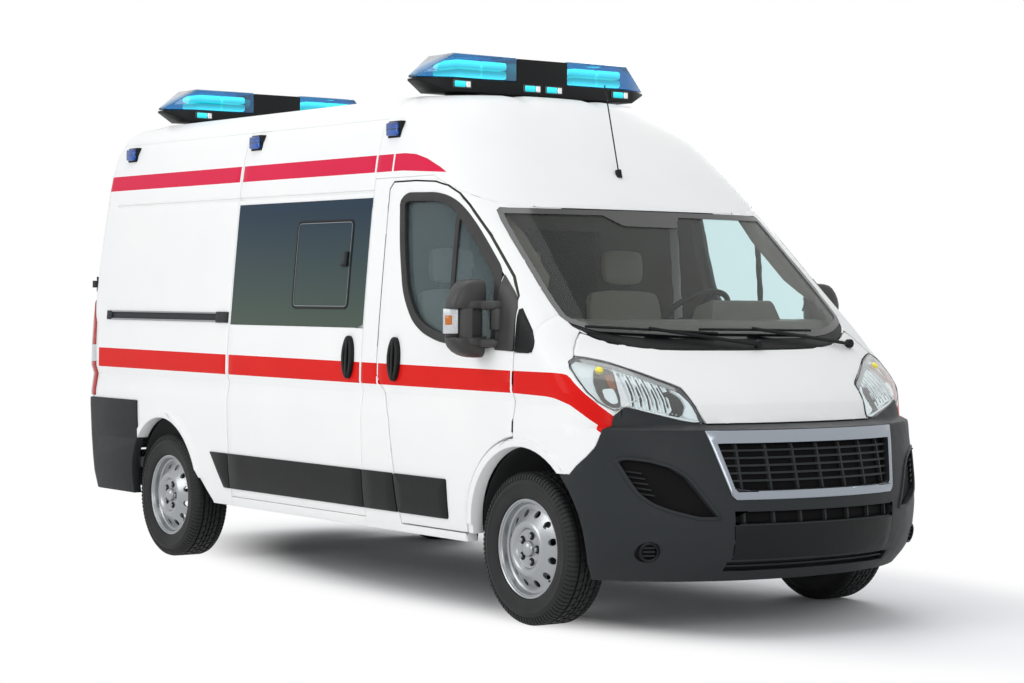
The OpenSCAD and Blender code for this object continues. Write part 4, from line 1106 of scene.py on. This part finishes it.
# Dark blade and pale crescent at the reflector's inner end (y, z)
BLADE = ((-640, 1084), (-600, 1088), (-570, 1062), (-566, 1020), (-586, 984), (-616, 966), (-650, 974),
         (-626, 1010), (-620, 1050))
CRESCENT = ((-592, 1094), (-560, 1078), (-536, 1036), (-522, 980), (-520, 958), (-566, 966), (-588, 980),
            (-562, 1018), (-562, 1058))
# Pale band along the upper edge of the headlamp (y, z)
LAMP_BROW = ((-900, 1227), (-857, 1220), (-779, 1199), (-706, 1168), (-632, 1134), (-562, 1101), (-568, 1086),
             (-632, 1115), (-706, 1149), (-779, 1181), (-857, 1204), (-900, 1213))
# Pale band along its lower edge (y, z)
LAMP_SILL = ((-842, 1018), (-793, 1003), (-691, 981), (-571, 954), (-512, 945), (-512, 951), (-571, 961),
             (-691, 988), (-793, 1010), (-842, 1025))
# Middle of the fog lamps across and up, and the section of their rings (radius, outward)
FOG_Y, FOG_Z = 802.0, 385.0
FOG_RING = ((33, -22), (34, 0), (40, 3), (46, 0), (47, -10), (46, -26), (33, -26))


def height_on(edge, y):
    """Height of an edge given as points from outer to inner, at a place across."""
    for (y0, z0), (y1, z1) in zip(edge, edge[1:]):
        if y <= y1:
            return z0 + (z1 - z0) * max(0.0, y - y0) / (y1 - y0)
    return edge[-1][1]


def at_fog(x, y, facing, across, up):
    """A place on the face of a fog lamp, in millimetres from the axle."""
    side = facing.cross(Vector((0, 0, 1))).normalized()
    place = Vector((x, y, FOG_Z)) + side * across + side.cross(facing) * up - facing * 8
    return tuple(place)


class AMBULANCE_OT_lamps(Operator):
    """Builds the headlamps, fog lamps and tail lamps"""

    bl_idname = "ambulance.lamps"
    bl_label = "Lamps"

    def execute(self, context):
        nose_pair("headlamp_lenses", "clear", HEADLAMP, 0.0, 4, 50, 0.0, stands_for=["headlamps"])
        nose_pair("headlamp_bowls", "pearl", inset(HEADLAMP, 3), -30.0, 4, 50, 0.0)
        rim = resampled(rounded(HEADLAMP, 14, 2), 30)
        edge = band(rim, inset(rim, 4), "YZ", LAID_ON["nose"][1])
        laid(edge, "X", 1.0)
        done(both(thick(edge, 6)), "headlamp_edges", "gloss")

        nose_pair("indicator_pockets", "smoke", rounded(INDICATOR, 14, 3), -20.0, 10, 40, 0.0)
        nose_pair("indicator_optics", "pearl", rounded(INDICATOR_OPTIC, 12, 3), -14, 6, 30)
        nose_pair("indicator_glow", "amber", rounded(INDICATOR_GLOW, 10, 3), -15, 6, 30)
        bulb = lathe(((0.5, 16), (10, 14), (18, 6), (20, -4), (14, -18), (0.5, -20)),
                     (nose_at(-852, 1170) - 12, -852, 1170), "X", 24)
        done(both(bulb), "indicator_bulbs", "bulb")
        nose_pair("headlamp_dividers", "reflector", LAMP_POST, -9, 16, 40, 1.0)

        mirror = REFLECTOR_TOP + REFLECTOR_FOOT[::-1]
        nose_pair("headlamp_reflectors", "reflector", mirror, -26.0, 4, 22, 0.0)
        bright, dark = [], []
        for k in range(12):
            y = -770 + 14.5 * k
            lean = 34 - 2.4 * k
            for made, offset, wide, lift in ((bright, 0, 6, -12), (dark, 6, 8, -14)):
                top, foot = y + offset, y + offset - lean
                high, low = height_on(REFLECTOR_TOP, top) - 10, height_on(REFLECTOR_FOOT, foot) + 8
                if made is dark:
                    high -= (26, 8, 44, 14)[k % 4]
                    low += (6, 30, 12, 40)[k % 4]
                flute = ((foot, low), (foot + wide, low), (top + wide, high), (top, high))
                made.append(nose_plate(flute, lift, 12, 70, 1.0))
        done(both(join(bright)), "headlamp_flutes", "pearl")
        blade = nose_plate(rounded(BLADE, 10, 3), -12, 12, 40, 1.5)
        done(both(join(dark + [blade])), "headlamp_shades", "void")
        nose_pair("headlamp_crescents", "pearl", rounded(CRESCENT, 8, 3), -8, 14, 30, 3.0)
        nose_pair("headlamp_brows", "liner", LAMP_BROW, -7, 8, 40, 1.0)
        nose_pair("headlamp_sills", "pearl", LAMP_SILL, -6, 8, 40, 1.0)

        for name, y in (("right", -FOG_Y), ("left", FOG_Y)):
            x = nose_at(y, FOG_Z)
            facing = GUIDE["tree"].find_nearest(at(x, y, FOG_Z))[1]
            facing = (facing + Vector((0.6, 0, 0))).normalized()
            rim = lathe(FOG_RING, (x, y, FOG_Z), "X", 36, facing)
            glass = lathe(((0.5, -12), (32, -14), (32, -20), (0.5, -20)), (x, y, FOG_Z), "X", 28, facing)
            done(rim, "fog_lamp_ring_" + name, "black")
            # the fog lamp glass is near-black and matt: painted shade of the lamp's unlit inside
            done(glass, "fog_lamp_glass_" + name, "void")
            slats = [tube([at_fog(x, y, facing, across, up) for across in (-27, 27)], 4, 8) for up in (-18, 0, 18)]
            done(join(slats), "fog_lamp_slats_" + name, "bumper")
        tail = cad("tail_lamps", 3.0)
        edit(tail)
        for z in TAIL_FIELD:
            bpy.ops.mesh.select_all(action="SELECT")
            bpy.ops.mesh.bisect(plane_co=(0, 0, z * MM), plane_no=(0, 0, 1))
        leave()
        done(tail, "tail_lamp_lenses", "red", stands_for=["tail_lamps"])
        tail.data.materials.append(FINISH["frost"])
        for face in tail.data.polygons:
            face.material_index = TAIL_FIELD[0] * MM < face.center.z < TAIL_FIELD[1] * MM
        return {"FINISHED"}


class AMBULANCE_OT_beacons(Operator):
    """Builds the light bars and the warning lamps along the roof"""

    bl_idname = "ambulance.beacons"
    bl_label = "Warning lamps"

    def execute(self, context):
        # height of the bars' decks, and half their length along the roof
        deck, face = ROOF_Z + 84, 122.0
        dressed("beacon_bases", "light_bar_housings", "black", 5.0)
        done(thick(cad("beacon_lenses", 7.0), 3.0), "light_bar_covers", "blue", stands_for=["beacon_lenses"])
        lit, small, frames, bright = [], [], [], []
        for x in BAR_PLACES:
            for y in (-535, -374, 213, 374):
                for z in (deck + 10, deck + 55):
                    lit.append(box((x - face + 14, y, z), (x + face - 14, y + 157, z + 41), 13, 4))
            for sign in (1, -1):
                for y in (70, 512):
                    low, high = deck - 52, deck - 8
                    front = x + sign * 124
                    for made, left, right, out, inner, edge in (
                        (frames, -58, 58, 5, 0, 4), (small, -48, 22, 8, 6, 6), (bright, 24, 52, 7, 6, 4),
                    ):
                        for middle in (y, -y):
                            made.append(box((front - 4, middle + left, low + inner),
                                            (front + out, middle + right, high - inner), edge))
        done(join(lit), "light_bar_modules", "module")
        done(join(small), "light_bar_base_lamps", "cyan")
        done(join(frames), "light_bar_lamp_frames", "gloss")
        done(join(bright), "light_bar_lamp_mirrors", "reflector")

        cases, covers, cells = [], [], []
        for x in SIDE_LAMPS:
            y = -HALF_WIDTH + form_row(2329)[0]
            cases.append(box((x - 54, y - 14, 2288), (x + 54, y + 40, 2371), 7))
            covers.append(box((x - 46, y - 36, 2297), (x + 46, y - 10, 2363), 8))
            for z in (2303, 2333):
                cells.append(box((x - 38, y - 26, z), (x + 38, y - 14, z + 24), 4))
        done(both(join(cases)), "side_lamp_cases", "black")
        done(both(join(covers)), "side_lamp_covers", "blue")
        done(both(join(cells)), "side_lamp_cells", "cell")
        return {"FINISHED"}


# Mouldings on the right side (x, z): rubbing strips and the black corner of the door glass
STRIP_LOW, STRIP_HIGH = 439.0, 630.0
STRIPS = ((-2780, -2913, SLIDE_REAR - 3, SLIDE_REAR - 3),
          (SLIDE_REAR + 3, SLIDE_REAR + 3, SLIDE_FRONT - 3, SLIDE_FRONT - 3),
          (SLIDE_FRONT + 3, SLIDE_FRONT + 3, -1037, -1061))
CORNER = ((-44, 1247), (52, 1243), (88, 1250), (99, 1275), (97, 1300), (70, 1345), (-30, 1446), (-44, 1440))
DOOR_CORNER = ((-196, 1252), (-54, 1248), (-54, 1446), (-80, 1496), (-110, 1524), (-196, 1600))
# Ends of the sliding door's rail, and height of the pull handles
RAIL_REAR, RAIL_FRONT, HANDLE_Z = -4195, -2740, 1190
# Wipers: outer and inner end of the blade (y, z) and the pivot of the arm across; height of the pivots
WIPERS = ((-796, 1358, -96, 1326, 111), (-187, 1345, 529, 1338, 758))
WIPER_PIVOT_Z = 1272


def pull_handle(x, z):
    """An oval pull handle: raised ring, dark pocket and grip."""
    rim = side_ring(oval(x, z, 48, 107), 24, 21, 26, 5.0, 20)
    pocket = side_plate(oval(x, z, 30, 90, 28), 3, 8, 60, 0.0)
    grip = rounded(oblong(x - 9, z - 92, x + 9, z + 92), 8, 3)
    return [rim, pocket, side_plate(grip, 24, 12, 60, 3.0)]


# Door mirror: outer reach and depth, front to back, at each height (z, y, front x, back x)
MIRROR_TOP = ((1442, -1217, -232, -350), (1470, -1214, -228, -352), (1500, -1203, -226, -352),
              (1530, -1186, -227, -351), (1553, -1167, -231, -348), (1568, -1146, -238, -344),
              (1576, -1120, -250, -336), (1578, -1100, -262, -328))
MIRROR_FOOT = ((1216, -1092, -262, -322), (1219, -1118, -250, -332), (1228, -1150, -240, -341),
               (1243, -1180, -233, -347), (1264, -1203, -229, -351), (1288, -1216, -228, -352),
               (1310, -1220, -231, -352))
MIRROR_INNER, MIRROR_STEPS = -1048.0, 14
# Main and wide-angle glass of the mirror (y, z)
MIRROR_PANES = (((-1062, 1322), (-1168, 1322), (-1176, 1420), (-1164, 1480), (-1140, 1520), (-1106, 1542),
                 (-1062, 1542)),
                ((-1062, 1246), (-1104, 1246), (-1130, 1258), (-1150, 1282), (-1158, 1308), (-1062, 1308)))
# Lamp in the mirror's outer end and the bulb in it, from above (x, y)
MIRROR_LAMP = ((-260, -1182), (-284, -1209), (-332, -1226), (-334, -1180), (-276, -1172))
MIRROR_BULB = ((-268, -1188), (-285, -1211.5), (-312, -1222), (-318, -1196), (-282, -1176))


def mirror_shell(levels):
    """Part of a mirror's shell, its outline rounded at the outer end and drawn through several heights."""
    rows = []
    for z, reach, front, back in levels:
        middle, deep, wide = (front + back) / 2, (front - back) / 2, (reach - MIRROR_INNER)
        row = []
        for k in range(MIRROR_STEPS + 1):
            turn = math.pi * k / MIRROR_STEPS
            c, sn = math.cos(turn), math.sin(turn)
            row.append((middle + deep * math.copysign(abs(c) ** 0.45, c), MIRROR_INNER + wide * sn ** 0.55, z))
        rows.append(row)
    obj = sheet_through(rows)
    edit(obj)
    bpy.ops.mesh.fill_holes(sides=0)
    bpy.ops.mesh.select_all(action="SELECT")
    bpy.ops.mesh.normals_make_consistent(inside=False)
    leave()
    return eased(obj, 6, 3)


def upright(plan, low, high, edge, segments=4):
    """A piece with an outline seen from above, between two heights, with rounded edges."""
    obj = extrude(outline(plan, "XY", low), z=high - low)
    return eased(obj, edge, segments)


def mirror_parts():
    """Door mirror: shell above and below, recessed core, raised frame, arms and base; lamp and glass are apart."""
    core = rounded(((-246, -1050), (-250, -1120), (-268, -1160), (-300, -1196), (-344, -1204), (-344, -1050)),
                   14, 4)
    arm = rounded(((-214, -1044), (-222, -1116), (-238, -1162), (-272, -1162), (-260, -1044)), 12, 4)
    stay = rounded(((-222, -1090), (-176, -1040), (-158, -980), (-206, -980), (-256, -1070)), 10, 3)
    return [
        mirror_shell(MIRROR_TOP), mirror_shell(MIRROR_FOOT), upright(core, 1290, 1460, 3, 2),
        upright(arm, 1440, 1482, 13, 4), upright(arm, 1272, 1312, 13, 4),
        upright(rounded(((-226, -1118), (-246, -1172), (-282, -1176), (-262, -1118)), 10, 4), 1278, 1476, 12, 4),
        upright(stay, 1438, 1480, 14, 4), upright(stay, 1264, 1304, 14, 4),
        upright(rounded(((-214, -1042), (-166, -1030), (-156, -980), (-206, -980)), 10, 3), 1342, 1446, 8, 3),
        side_plate(DOOR_CORNER, 6, 12, 60, 2.0),
    ]


class AMBULANCE_OT_fittings(Operator):
    """Fits handles, mirrors, rubbing strips, hinges, wipers and the antenna"""

    bl_idname = "ambulance.fittings"
    bl_label = "Fittings"

    def execute(self, context):
        for name, side in (("right", 1), ("left", -1)):
            body = "front_door_" + name
            strip = side_plate(rounded(((-1026, STRIP_LOW), (-597, STRIP_LOW), (-597, STRIP_HIGH),
                                        (-1050, STRIP_HIGH)), 12, 3), 9, 14, 90, 3.0)
            for pieces, label, finish, stands in (
                ([strip], "door_strip_", "black", ["front_fittings_" + name]),
                (pull_handle(-1033, HANDLE_Z), "door_handle_", "black", ()),
                (mirror_parts(), "door_mirror_", "mirror_shell", ()),
                ([upright(rounded(MIRROR_LAMP, 10, 3), 1326, 1442, 6, 3)], "mirror_lamp_", "frost", ()),
                ([upright(MIRROR_BULB, 1366, 1412, 4, 2)], "mirror_bulb_", "amber", ()),
                ([extrude(outline(pane, "YZ", -358), x=9) for pane in MIRROR_PANES], "mirror_glass_", "mirror", ()),
            ):
                obj = join(pieces)
                done(obj if side > 0 else flipped(obj), label + name, finish, body, stands)
            dressed("rear_fittings_" + name, "rear_hinge_leaves_" + name, "black", 1.5, "rear_door_" + name)
        strips = []
        for low_x, high_x, low_front, high_front in STRIPS:
            strips.append(side_plate(((low_x, STRIP_LOW), (low_front, STRIP_LOW), (high_front, STRIP_HIGH),
                                      (high_x, STRIP_HIGH)), 9, 14, 120, 3.0))
        corner = side_plate(CORNER, 3, 14, 40, 2.0)
        done(both(join(strips + [corner])), "side_mouldings", "black", stands_for=["side_trim"])
        rail = join([
            side_plate(oblong(RAIL_REAR, 1358, RAIL_FRONT, 1394), 2, 6, 200, 1.0),
            side_plate(oblong(RAIL_REAR, 1350, -4130, 1402), 10, 14, 60, 3.0),
            side_plate(oblong(-2850, 1346, -2722, 1406), 12, 16, 60, 3.0),
        ])
        done(rail, "sliding_rail", "bumper")
        lips = join([side_plate(oblong(RAIL_REAR, z, RAIL_FRONT, z + 9), 9, 10, 200, 1.5) for z in (1349, 1394)])
        done(lips, "sliding_rail_lips", "steel")
        done(join(pull_handle(SLIDE_FRONT - 115, HANDLE_Z)), "sliding_door_handle", "black")
        dressed("door_hinges", "fixed_hinges", "black", 1.5)

        arms = []
        for y0, z0, y1, z1, pivot_y in WIPERS:
            blade = [(nose_at(y, z) + 16, y, z + 8) for y, z in
                     [(y0 + (y1 - y0) * k / 12, z0 + (z1 - z0) * k / 12) for k in range(13)]]
            arms.append(tube(blade, 7, 8))
            middle = (y0 * 0.55 + y1 * 0.45, z0 * 0.55 + z1 * 0.45 + 6)
            reach = [(middle[0] + (pivot_y - middle[0]) * k / 8, middle[1] + (WIPER_PIVOT_Z - middle[1]) * k / 8)
                     for k in range(9)]
            arms.append(tube([(nose_at(y, z) + 30 - 1.2 * k, y, z + 8) for k, (y, z) in enumerate(reach)], 9, 8))
            pivot = (nose_at(pivot_y, WIPER_PIVOT_Z) + 16, pivot_y, WIPER_PIVOT_Z + 10)
            arms.append(disc(pivot, 22, 26, "X", 20, 5))
        done(join(arms), "wiper_arms", "black", stands_for=["wipers"])
        dressed("antenna", "antenna_whip", "black")
        return {"FINISHED"}


# Half section of a tyre from its bead to the middle of its tread (radius, outward)
TYRE = ((222.5, 78), (229, 85), (231, 94), (238, 99), (252, 103), (272, 106), (290, 107), (292, 108.5),
        (296, 108.5), (298, 107), (310, 104), (316, 101), (334, 96), (343, 87), (347, 75), (347.5, 62),
        (347.5, 58), (337, 56), (337, 50), (347.5, 48), (347.5, 27), (338, 25), (338, 21), (347.5, 19),
        (347.5, 5), (337, 3))
# Steps round a tyre and how many make up one shoulder block with its groove
TYRE_STEPS, BLOCK_STEPS = 288, 3


def tyre_form(place):
    """A radial van tyre: smooth sidewalls, ribbed tread and shoulder blocks parted by narrow grooves."""
    obj = lathe(TYRE + tuple((r, -a) for r, a in reversed(TYRE)), place, "Y", TYRE_STEPS)
    edit(obj, "DESELECT")
    mesh = bmesh.from_edit_mesh(obj.data)
    hub = at(*place)
    for face in mesh.faces:
        middle = face.calc_center_median() - hub
        r, a = math.hypot(middle.x, middle.z) / MM, abs(middle.y) / MM
        turn = round(math.atan2(middle.x, middle.z) / math.tau * TYRE_STEPS - 0.5)
        shoulder = r > 316 and a > 60 and turn % BLOCK_STEPS > 0
        crown = r > 345 and a < 50 and (turn + int(a / 8)) % (2 * BLOCK_STEPS) > 1
        face.select = shoulder or crown
    bmesh.update_edit_mesh(obj.data)
    bpy.ops.mesh.extrude_region_shrink_fatten(TRANSFORM_OT_shrink_fatten={"value": 3.6 * MM})
    leave()
    return obj


# Wheel rim from its hub face out to the flange and back along the inside (radius, outward)
RIM = ((36, 80), (80, 80), (88, 83), (96, 95), (104, 101), (112, 102), (120, 100), (127, 94), (150, 75),
       (176, 57), (188, 51), (198, 51), (205, 56), (208.5, 66), (210, 78), (213, 83), (217, 84), (219, 89),
       (224, 92), (227.5, 91), (228, 84), (222, 80), (222, -80), (228, -84), (228, -92), (218, -92),
       (198, -70), (198, 38), (186, 40), (150, 63), (122, 86), (112, 90), (100, 86), (88, 68), (36, 68))
RIM_HOLES, RIM_HOLE_R, RIM_HOLE_AT = 12, 17.0, 163.0
# Hub cap and the pocket round a bolt, in the same way, and the radius that the bolts stand on
HUB_CAP = ((0.5, 107), (14, 106), (26, 102), (33, 96), (36.5, 89), (38, 80), (34, 78), (32, 78), (31, 90),
           (0.5, 96))
BOLT_POCKET = ((10, 78), (19, 78), (19.5, 81.5), (17, 82), (15.5, 80.5), (10, 80.2))
BOLT_CIRCLE = 62
# Path of the tyre valve from the wheel's middle (forward, outward, down)
VALVE = ((150, 50, 132), (153, 68, 134), (152, 82, 134))


def handed(profile, side):
    """A wheel's section turned to its side of the vehicle."""
    return [(r, side * a) for r, a in profile]


def rim_form(place, side):
    """A pressed steel wheel: dished disc with round vent holes, raised ring and rolled flange."""
    obj = lathe(handed(RIM, side), place, "Y", 96)
    drills = []
    for k in range(RIM_HOLES):
        turn = math.tau * (k + 0.5) / RIM_HOLES
        x, z = place[0] + RIM_HOLE_AT * math.sin(turn), place[2] + RIM_HOLE_AT * math.cos(turn)
        drills.append(disc((x, place[1] + side * 40, z), RIM_HOLE_R, 130, "Y", 20))
    cutter = join(drills)
    modify(obj, "BOOLEAN", operation="DIFFERENCE", object=cutter, solver="EXACT")
    bpy.data.objects.remove(cutter)
    return obj


class AMBULANCE_OT_wheels(Operator):
    """Dresses the wheels: tyres with tread, bolts, caps and valves"""

    bl_idname = "ambulance.wheels"
    bl_label = "Wheels"

    def execute(self, context):
        count = settings("wheel").bolts
        for end in ("front", "rear"):
            for name, side in (("right", -1), ("left", 1)):
                body = f"wheel_{end}_{name}"
                x, y, z = (0 if end == "front" else REAR_AXLE), side * HALF_TRACK[end], TYRE_R
                label = f"{end}_{name}_"
                done(tyre_form((x, y, z)), label + "tyre", "tyre", body, [f"tyre_{end}_{name}"])
                done(rim_form((x, y, z), side), label + "rim", "silver", body, [f"rim_{end}_{name}"])
                done(lathe(handed(HUB_CAP, side), (x, y, z), "Y", 40), label + "hub_cap", "silver", body)
                bolts, pockets = [], []
                for k in range(count):
                    turn = math.tau * k / count + 0.3
                    px, pz = x + BOLT_CIRCLE * math.sin(turn), z + BOLT_CIRCLE * math.cos(turn)
                    pockets.append(lathe(handed(BOLT_POCKET, side), (px, y, pz), "Y", 20))
                    bolts.append(disc((px, y + side * 86, pz), 11, 16, "Y", 6, 2.5))
                done(join(bolts), label + "bolts", "steel", body)
                done(join(pockets), label + "bolt_pockets", "black", body)
                valve = tube([(x + out, y + side * along, z - down) for out, along, down in VALVE], 5, 8)
                done(valve, label + "valve", "rubber", body)
        return {"FINISHED"}


# Seats with their right and left edges across the cab
SEATS = (("window", -835, -420), ("middle", -405, 10), ("driver", 230, 710))


def pad(lo, hi, crown, axis, tilt=0.0, pivot=(0, 0, 0)):
    """A stuffed pad: a block whose wide faces swell and whose sides draw in between the corners."""
    obj = box(lo, hi)
    edit(obj)
    bpy.ops.mesh.subdivide(number_cuts=9)
    leave()
    low, high = at(*lo), at(*hi)
    for vertex in obj.data.vertices:
        u = [2 * (vertex.co[i] - low[i]) / (high[i] - low[i]) - 1 for i in range(3)]
        for i in range(3):
            j, k = (i + 1) % 3, (i + 2) % 3
            swell = (1 - u[j] ** 2) * (1 - u[k] ** 2)
            corner = u[j] ** 4 + u[k] ** 4
            amount = crown if i == axis else 0.35 * crown
            vertex.co[i] += u[i] * abs(u[i]) * (amount * swell - 9 * corner) * MM
    modify(obj, "SUBSURF", levels=1, render_levels=1)
    if tilt:
        edit(obj)
        bpy.ops.transform.rotate(value=math.radians(tilt), orient_axis="Y", center_override=at(*pivot))
        leave()
    return obj


class AMBULANCE_OT_cabin(Operator):
    """Finishes the cab and load space"""

    bl_idname = "ambulance.cabin"
    bl_label = "Cabin"

    def execute(self, context):
        frames = []
        for place, right, left in SEATS:
            middle = (right + left) / 2
            parts = (
                ("cushion", pad((-1040, right + 6, 822), (-520, left - 6, 930), 16, 2)),
                ("back", pad((-1044, right + 8, 948), (-962, left - 8, 1528), 20, 0, 12, (-1060, 0, 930))),
                ("headrest", pad((-1164, middle - 122, 1572), (-1092, middle + 122, 1738), 12, 0)),
            )
            for label, piece in parts:
                done(piece, f"{place}_seat_{label}", "cloth", stands_for=["seats"] if label == "cushion" else ())
            frames.append(box((-990, right + 14, 541), (-580, left - 14, 826), 14, 3))
            for y in (middle - 60, middle + 60):
                frames.append(tube([(-1140, y, 1480), (-1132, y, 1600)], 7, 8))
        done(join(frames), "seat_bases", "iron")
        dressed("dashboard", "dashboard_moulding", "dash", 8.0)
        dressed("steering_wheel", "steering_wheel_rim", "black", 2.0, "steering_wheel")
        dressed("bulkhead", "bulkhead_panel", "trim", 3.0)
        dressed("floor_pan", "floor_sheet", "floor", 2.0)
        return {"FINISHED"}


class AMBULANCE_OT_underside(Operator):
    """Finishes the chassis, axles and what hangs below"""

    bl_idname = "ambulance.underside"
    bl_label = "Underside"

    def execute(self, context):
        for node in ("chassis", "wheel_housings", "engine", "front_suspension", "rear_axle", "underbody"):
            dressed(node, node + "_finish", "iron", 2.0)
        for side in ("right", "left"):
            dressed("knuckle_" + side, "knuckle_casting_" + side, "cast", 2.0, "knuckle_" + side)
        return {"FINISHED"}


# Stage


def seen_rays(tree):
    """Tells what the camera sees, mirrored or through glass too, from rays that only carry light."""
    path = add_node(tree, "LightPath")
    seen = path.outputs["Is Camera Ray"]
    for ray in ("Is Glossy Ray", "Is Transmission Ray"):
        seen = add_node(tree, "Math", {0: seen, 1: path.outputs[ray]}, operation="MAXIMUM")
    return seen


# Camera fitted to the photograph: its place in millimetres, where it looks, how it leans and its shift
CAMERA_AT = (8603.1, -7312.2, 1489.7)
CAMERA_FORWARD = (-0.81026215, 0.58592135, -0.01309284)
CAMERA_ROLL = math.radians(0.4)
CAMERA_SHIFT = (0.0044, -0.0119)
# Middle and half sizes of the floor's shadow field, as a shift and a scale of its oval
SHADOW_SHIFT, SHADOW_SCALE = (-0.13, -0.28, 0.0), (1 / 4.6, 1 / 1.95, 1.0)
# Lamps: name, place, aim, size in metres and the setting that gives the power
LAMPS = (
    ("key", (-2500, -8500, 5000), (-1700, 0, 1000), 5.0, "key"),
    ("fill", (8000, -4500, 3500), (-500, 0, 1300), 4.0, "fill"),
    ("top", (-1500, -500, 8000), (-1500, 0, 1300), 6.0, "fill"),
    ("rim", (-6000, 5500, 5000), (-1500, 0, 1300), 4.0, "fill"),
)


class AMBULANCE_OT_stage(Operator):
    """Sets the floor, the soft lights and the camera"""

    bl_idname = "ambulance.stage"
    bl_label = "Studio"

    def execute(self, context):
        s = settings("studio")
        scene = context.scene
        scene.view_settings.view_transform = "Standard"
        camera = bpy.data.cameras.new("camera")
        camera.lens, camera.sensor_width = s.lens, 36.0
        camera.shift_x, camera.shift_y = CAMERA_SHIFT
        camera.clip_end = 200.0
        eye = bpy.data.objects.new("camera", camera)
        scene.collection.objects.link(eye)
        scene.camera = eye
        forward = Vector(CAMERA_FORWARD).normalized()
        right = forward.cross(Vector((0, 0, 1))).normalized()
        up = right.cross(forward)
        c, sn = math.cos(CAMERA_ROLL), math.sin(CAMERA_ROLL)
        right, up = right * c + up * sn, up * c - right * sn
        eye.matrix_world = Matrix.Translation(at(*CAMERA_AT)) @ Matrix(
            (right, up, -forward)).transposed().to_4x4()

        fresh()
        bpy.ops.mesh.primitive_plane_add(size=400, location=(0, 0, -0.0005))
        floor = settle(bpy.context.object)
        floor.name = "studio_floor"
        # matt studio floor: keeps the shadow near the van and fades to plain white away from it
        material, tree, place = blank_finish("pale_studio_floor")
        seen = seen_rays(tree)
        oval_place = add_node(
            tree, "Mapping", {"Vector": place, "Location": SHADOW_SHIFT, "Scale": SHADOW_SCALE})
        near = add_node(tree, "TexGradient", {"Vector": oval_place}, gradient_type="SPHERICAL")
        away = add_node(tree, "MapRange", {0: near, 1: 0.1, 2: 0.4, 3: 1.0, 4: 0.0},
                        interpolation_type="SMOOTHSTEP")
        speck = add_node(tree, "TexNoise", {"Vector": place, "Scale": 1.1})
        matt = add_node(tree, "BsdfPrincipled", {
            "Roughness": 0.85, "Specular IOR Level": 0.15,
            "Base Color": add_node(tree, "Mix", {0: speck, "A": linear("#F6F6F7"), "B": linear("#FAFAFB")},
                                   data_type="RGBA")})
        white = add_node(tree, "Emission", {"Color": (1, 1, 1, 1), "Strength": 1.0})
        mix = add_node(tree, "MixShader", {
            0: add_node(tree, "Math", {0: seen, 1: away}, operation="MULTIPLY"), 1: matt, 2: white})
        floor.data.materials.append(surfaced(material, mix))

        world = bpy.data.worlds.new("white_surround")
        scene.world = world
        world.use_nodes = True
        tree = world.node_tree
        tree.nodes.clear()
        seen = seen_rays(tree)
        plain = add_node(tree, "Background", {"Color": (1, 1, 1, 1), "Strength": 1.0})
        lit = add_node(tree, "Background", {"Color": linear("#F4F7FA"), "Strength": s.sky})
        add_node(tree, "OutputWorld", {"Surface": add_node(tree, "MixShader", {0: seen, 1: lit, 2: plain})})

        for name, place, aim, size, power in LAMPS:
            lamp = bpy.data.lights.new(name, "AREA")
            lamp.size, lamp.energy = size, getattr(s, power)
            obj = bpy.data.objects.new(name, lamp)
            scene.collection.objects.link(obj)
            obj.location = at(*place)
            obj.visible_transmission = False  # not seen through glass
            obj.rotation_mode = "QUATERNION"
            obj.rotation_quaternion = (at(*aim) - at(*place)).to_track_quat("-Z", "Y")
        return {"FINISHED"}


class AMBULANCE_PT_panel(Panel):
    """Lists the steps that dress the ambulance"""

    bl_label = "Ambulance"
    bl_idname = "AMBULANCE_PT_panel"
    bl_space_type = "VIEW_3D"
    bl_region_type = "UI"
    bl_category = "Ambulance"

    def draw(self, context):
        for step in STEPS:
            self.layout.operator(step.bl_idname)


GROUPS = {"paint": PaintSettings, "lamp": LampSettings, "wheel": WheelSettings, "studio": StudioSettings}
STEPS = (
    AMBULANCE_OT_stage, AMBULANCE_OT_form, AMBULANCE_OT_panels, AMBULANCE_OT_bumpers, AMBULANCE_OT_glazing,
    AMBULANCE_OT_lamps, AMBULANCE_OT_beacons, AMBULANCE_OT_fittings, AMBULANCE_OT_wheels, AMBULANCE_OT_cabin,
    AMBULANCE_OT_underside,
)


def register():
    for cls in (*GROUPS.values(), *STEPS, AMBULANCE_PT_panel):
        bpy.utils.register_class(cls)
    for key, cls in GROUPS.items():
        setattr(bpy.types.Scene, "ambulance_" + key, PointerProperty(type=cls))


def unregister():
    for key in GROUPS:
        delattr(bpy.types.Scene, "ambulance_" + key)
    for cls in reversed((*GROUPS.values(), *STEPS, AMBULANCE_PT_panel)):
        bpy.utils.unregister_class(cls)


def main():
    register()
    make_finishes()
    for step in STEPS:
        group, name = step.bl_idname.split(".")
        getattr(getattr(bpy.ops, group), name)()
    bpy.data.objects.remove(GUIDE["form"])


if __name__ == "__main__":
    main()
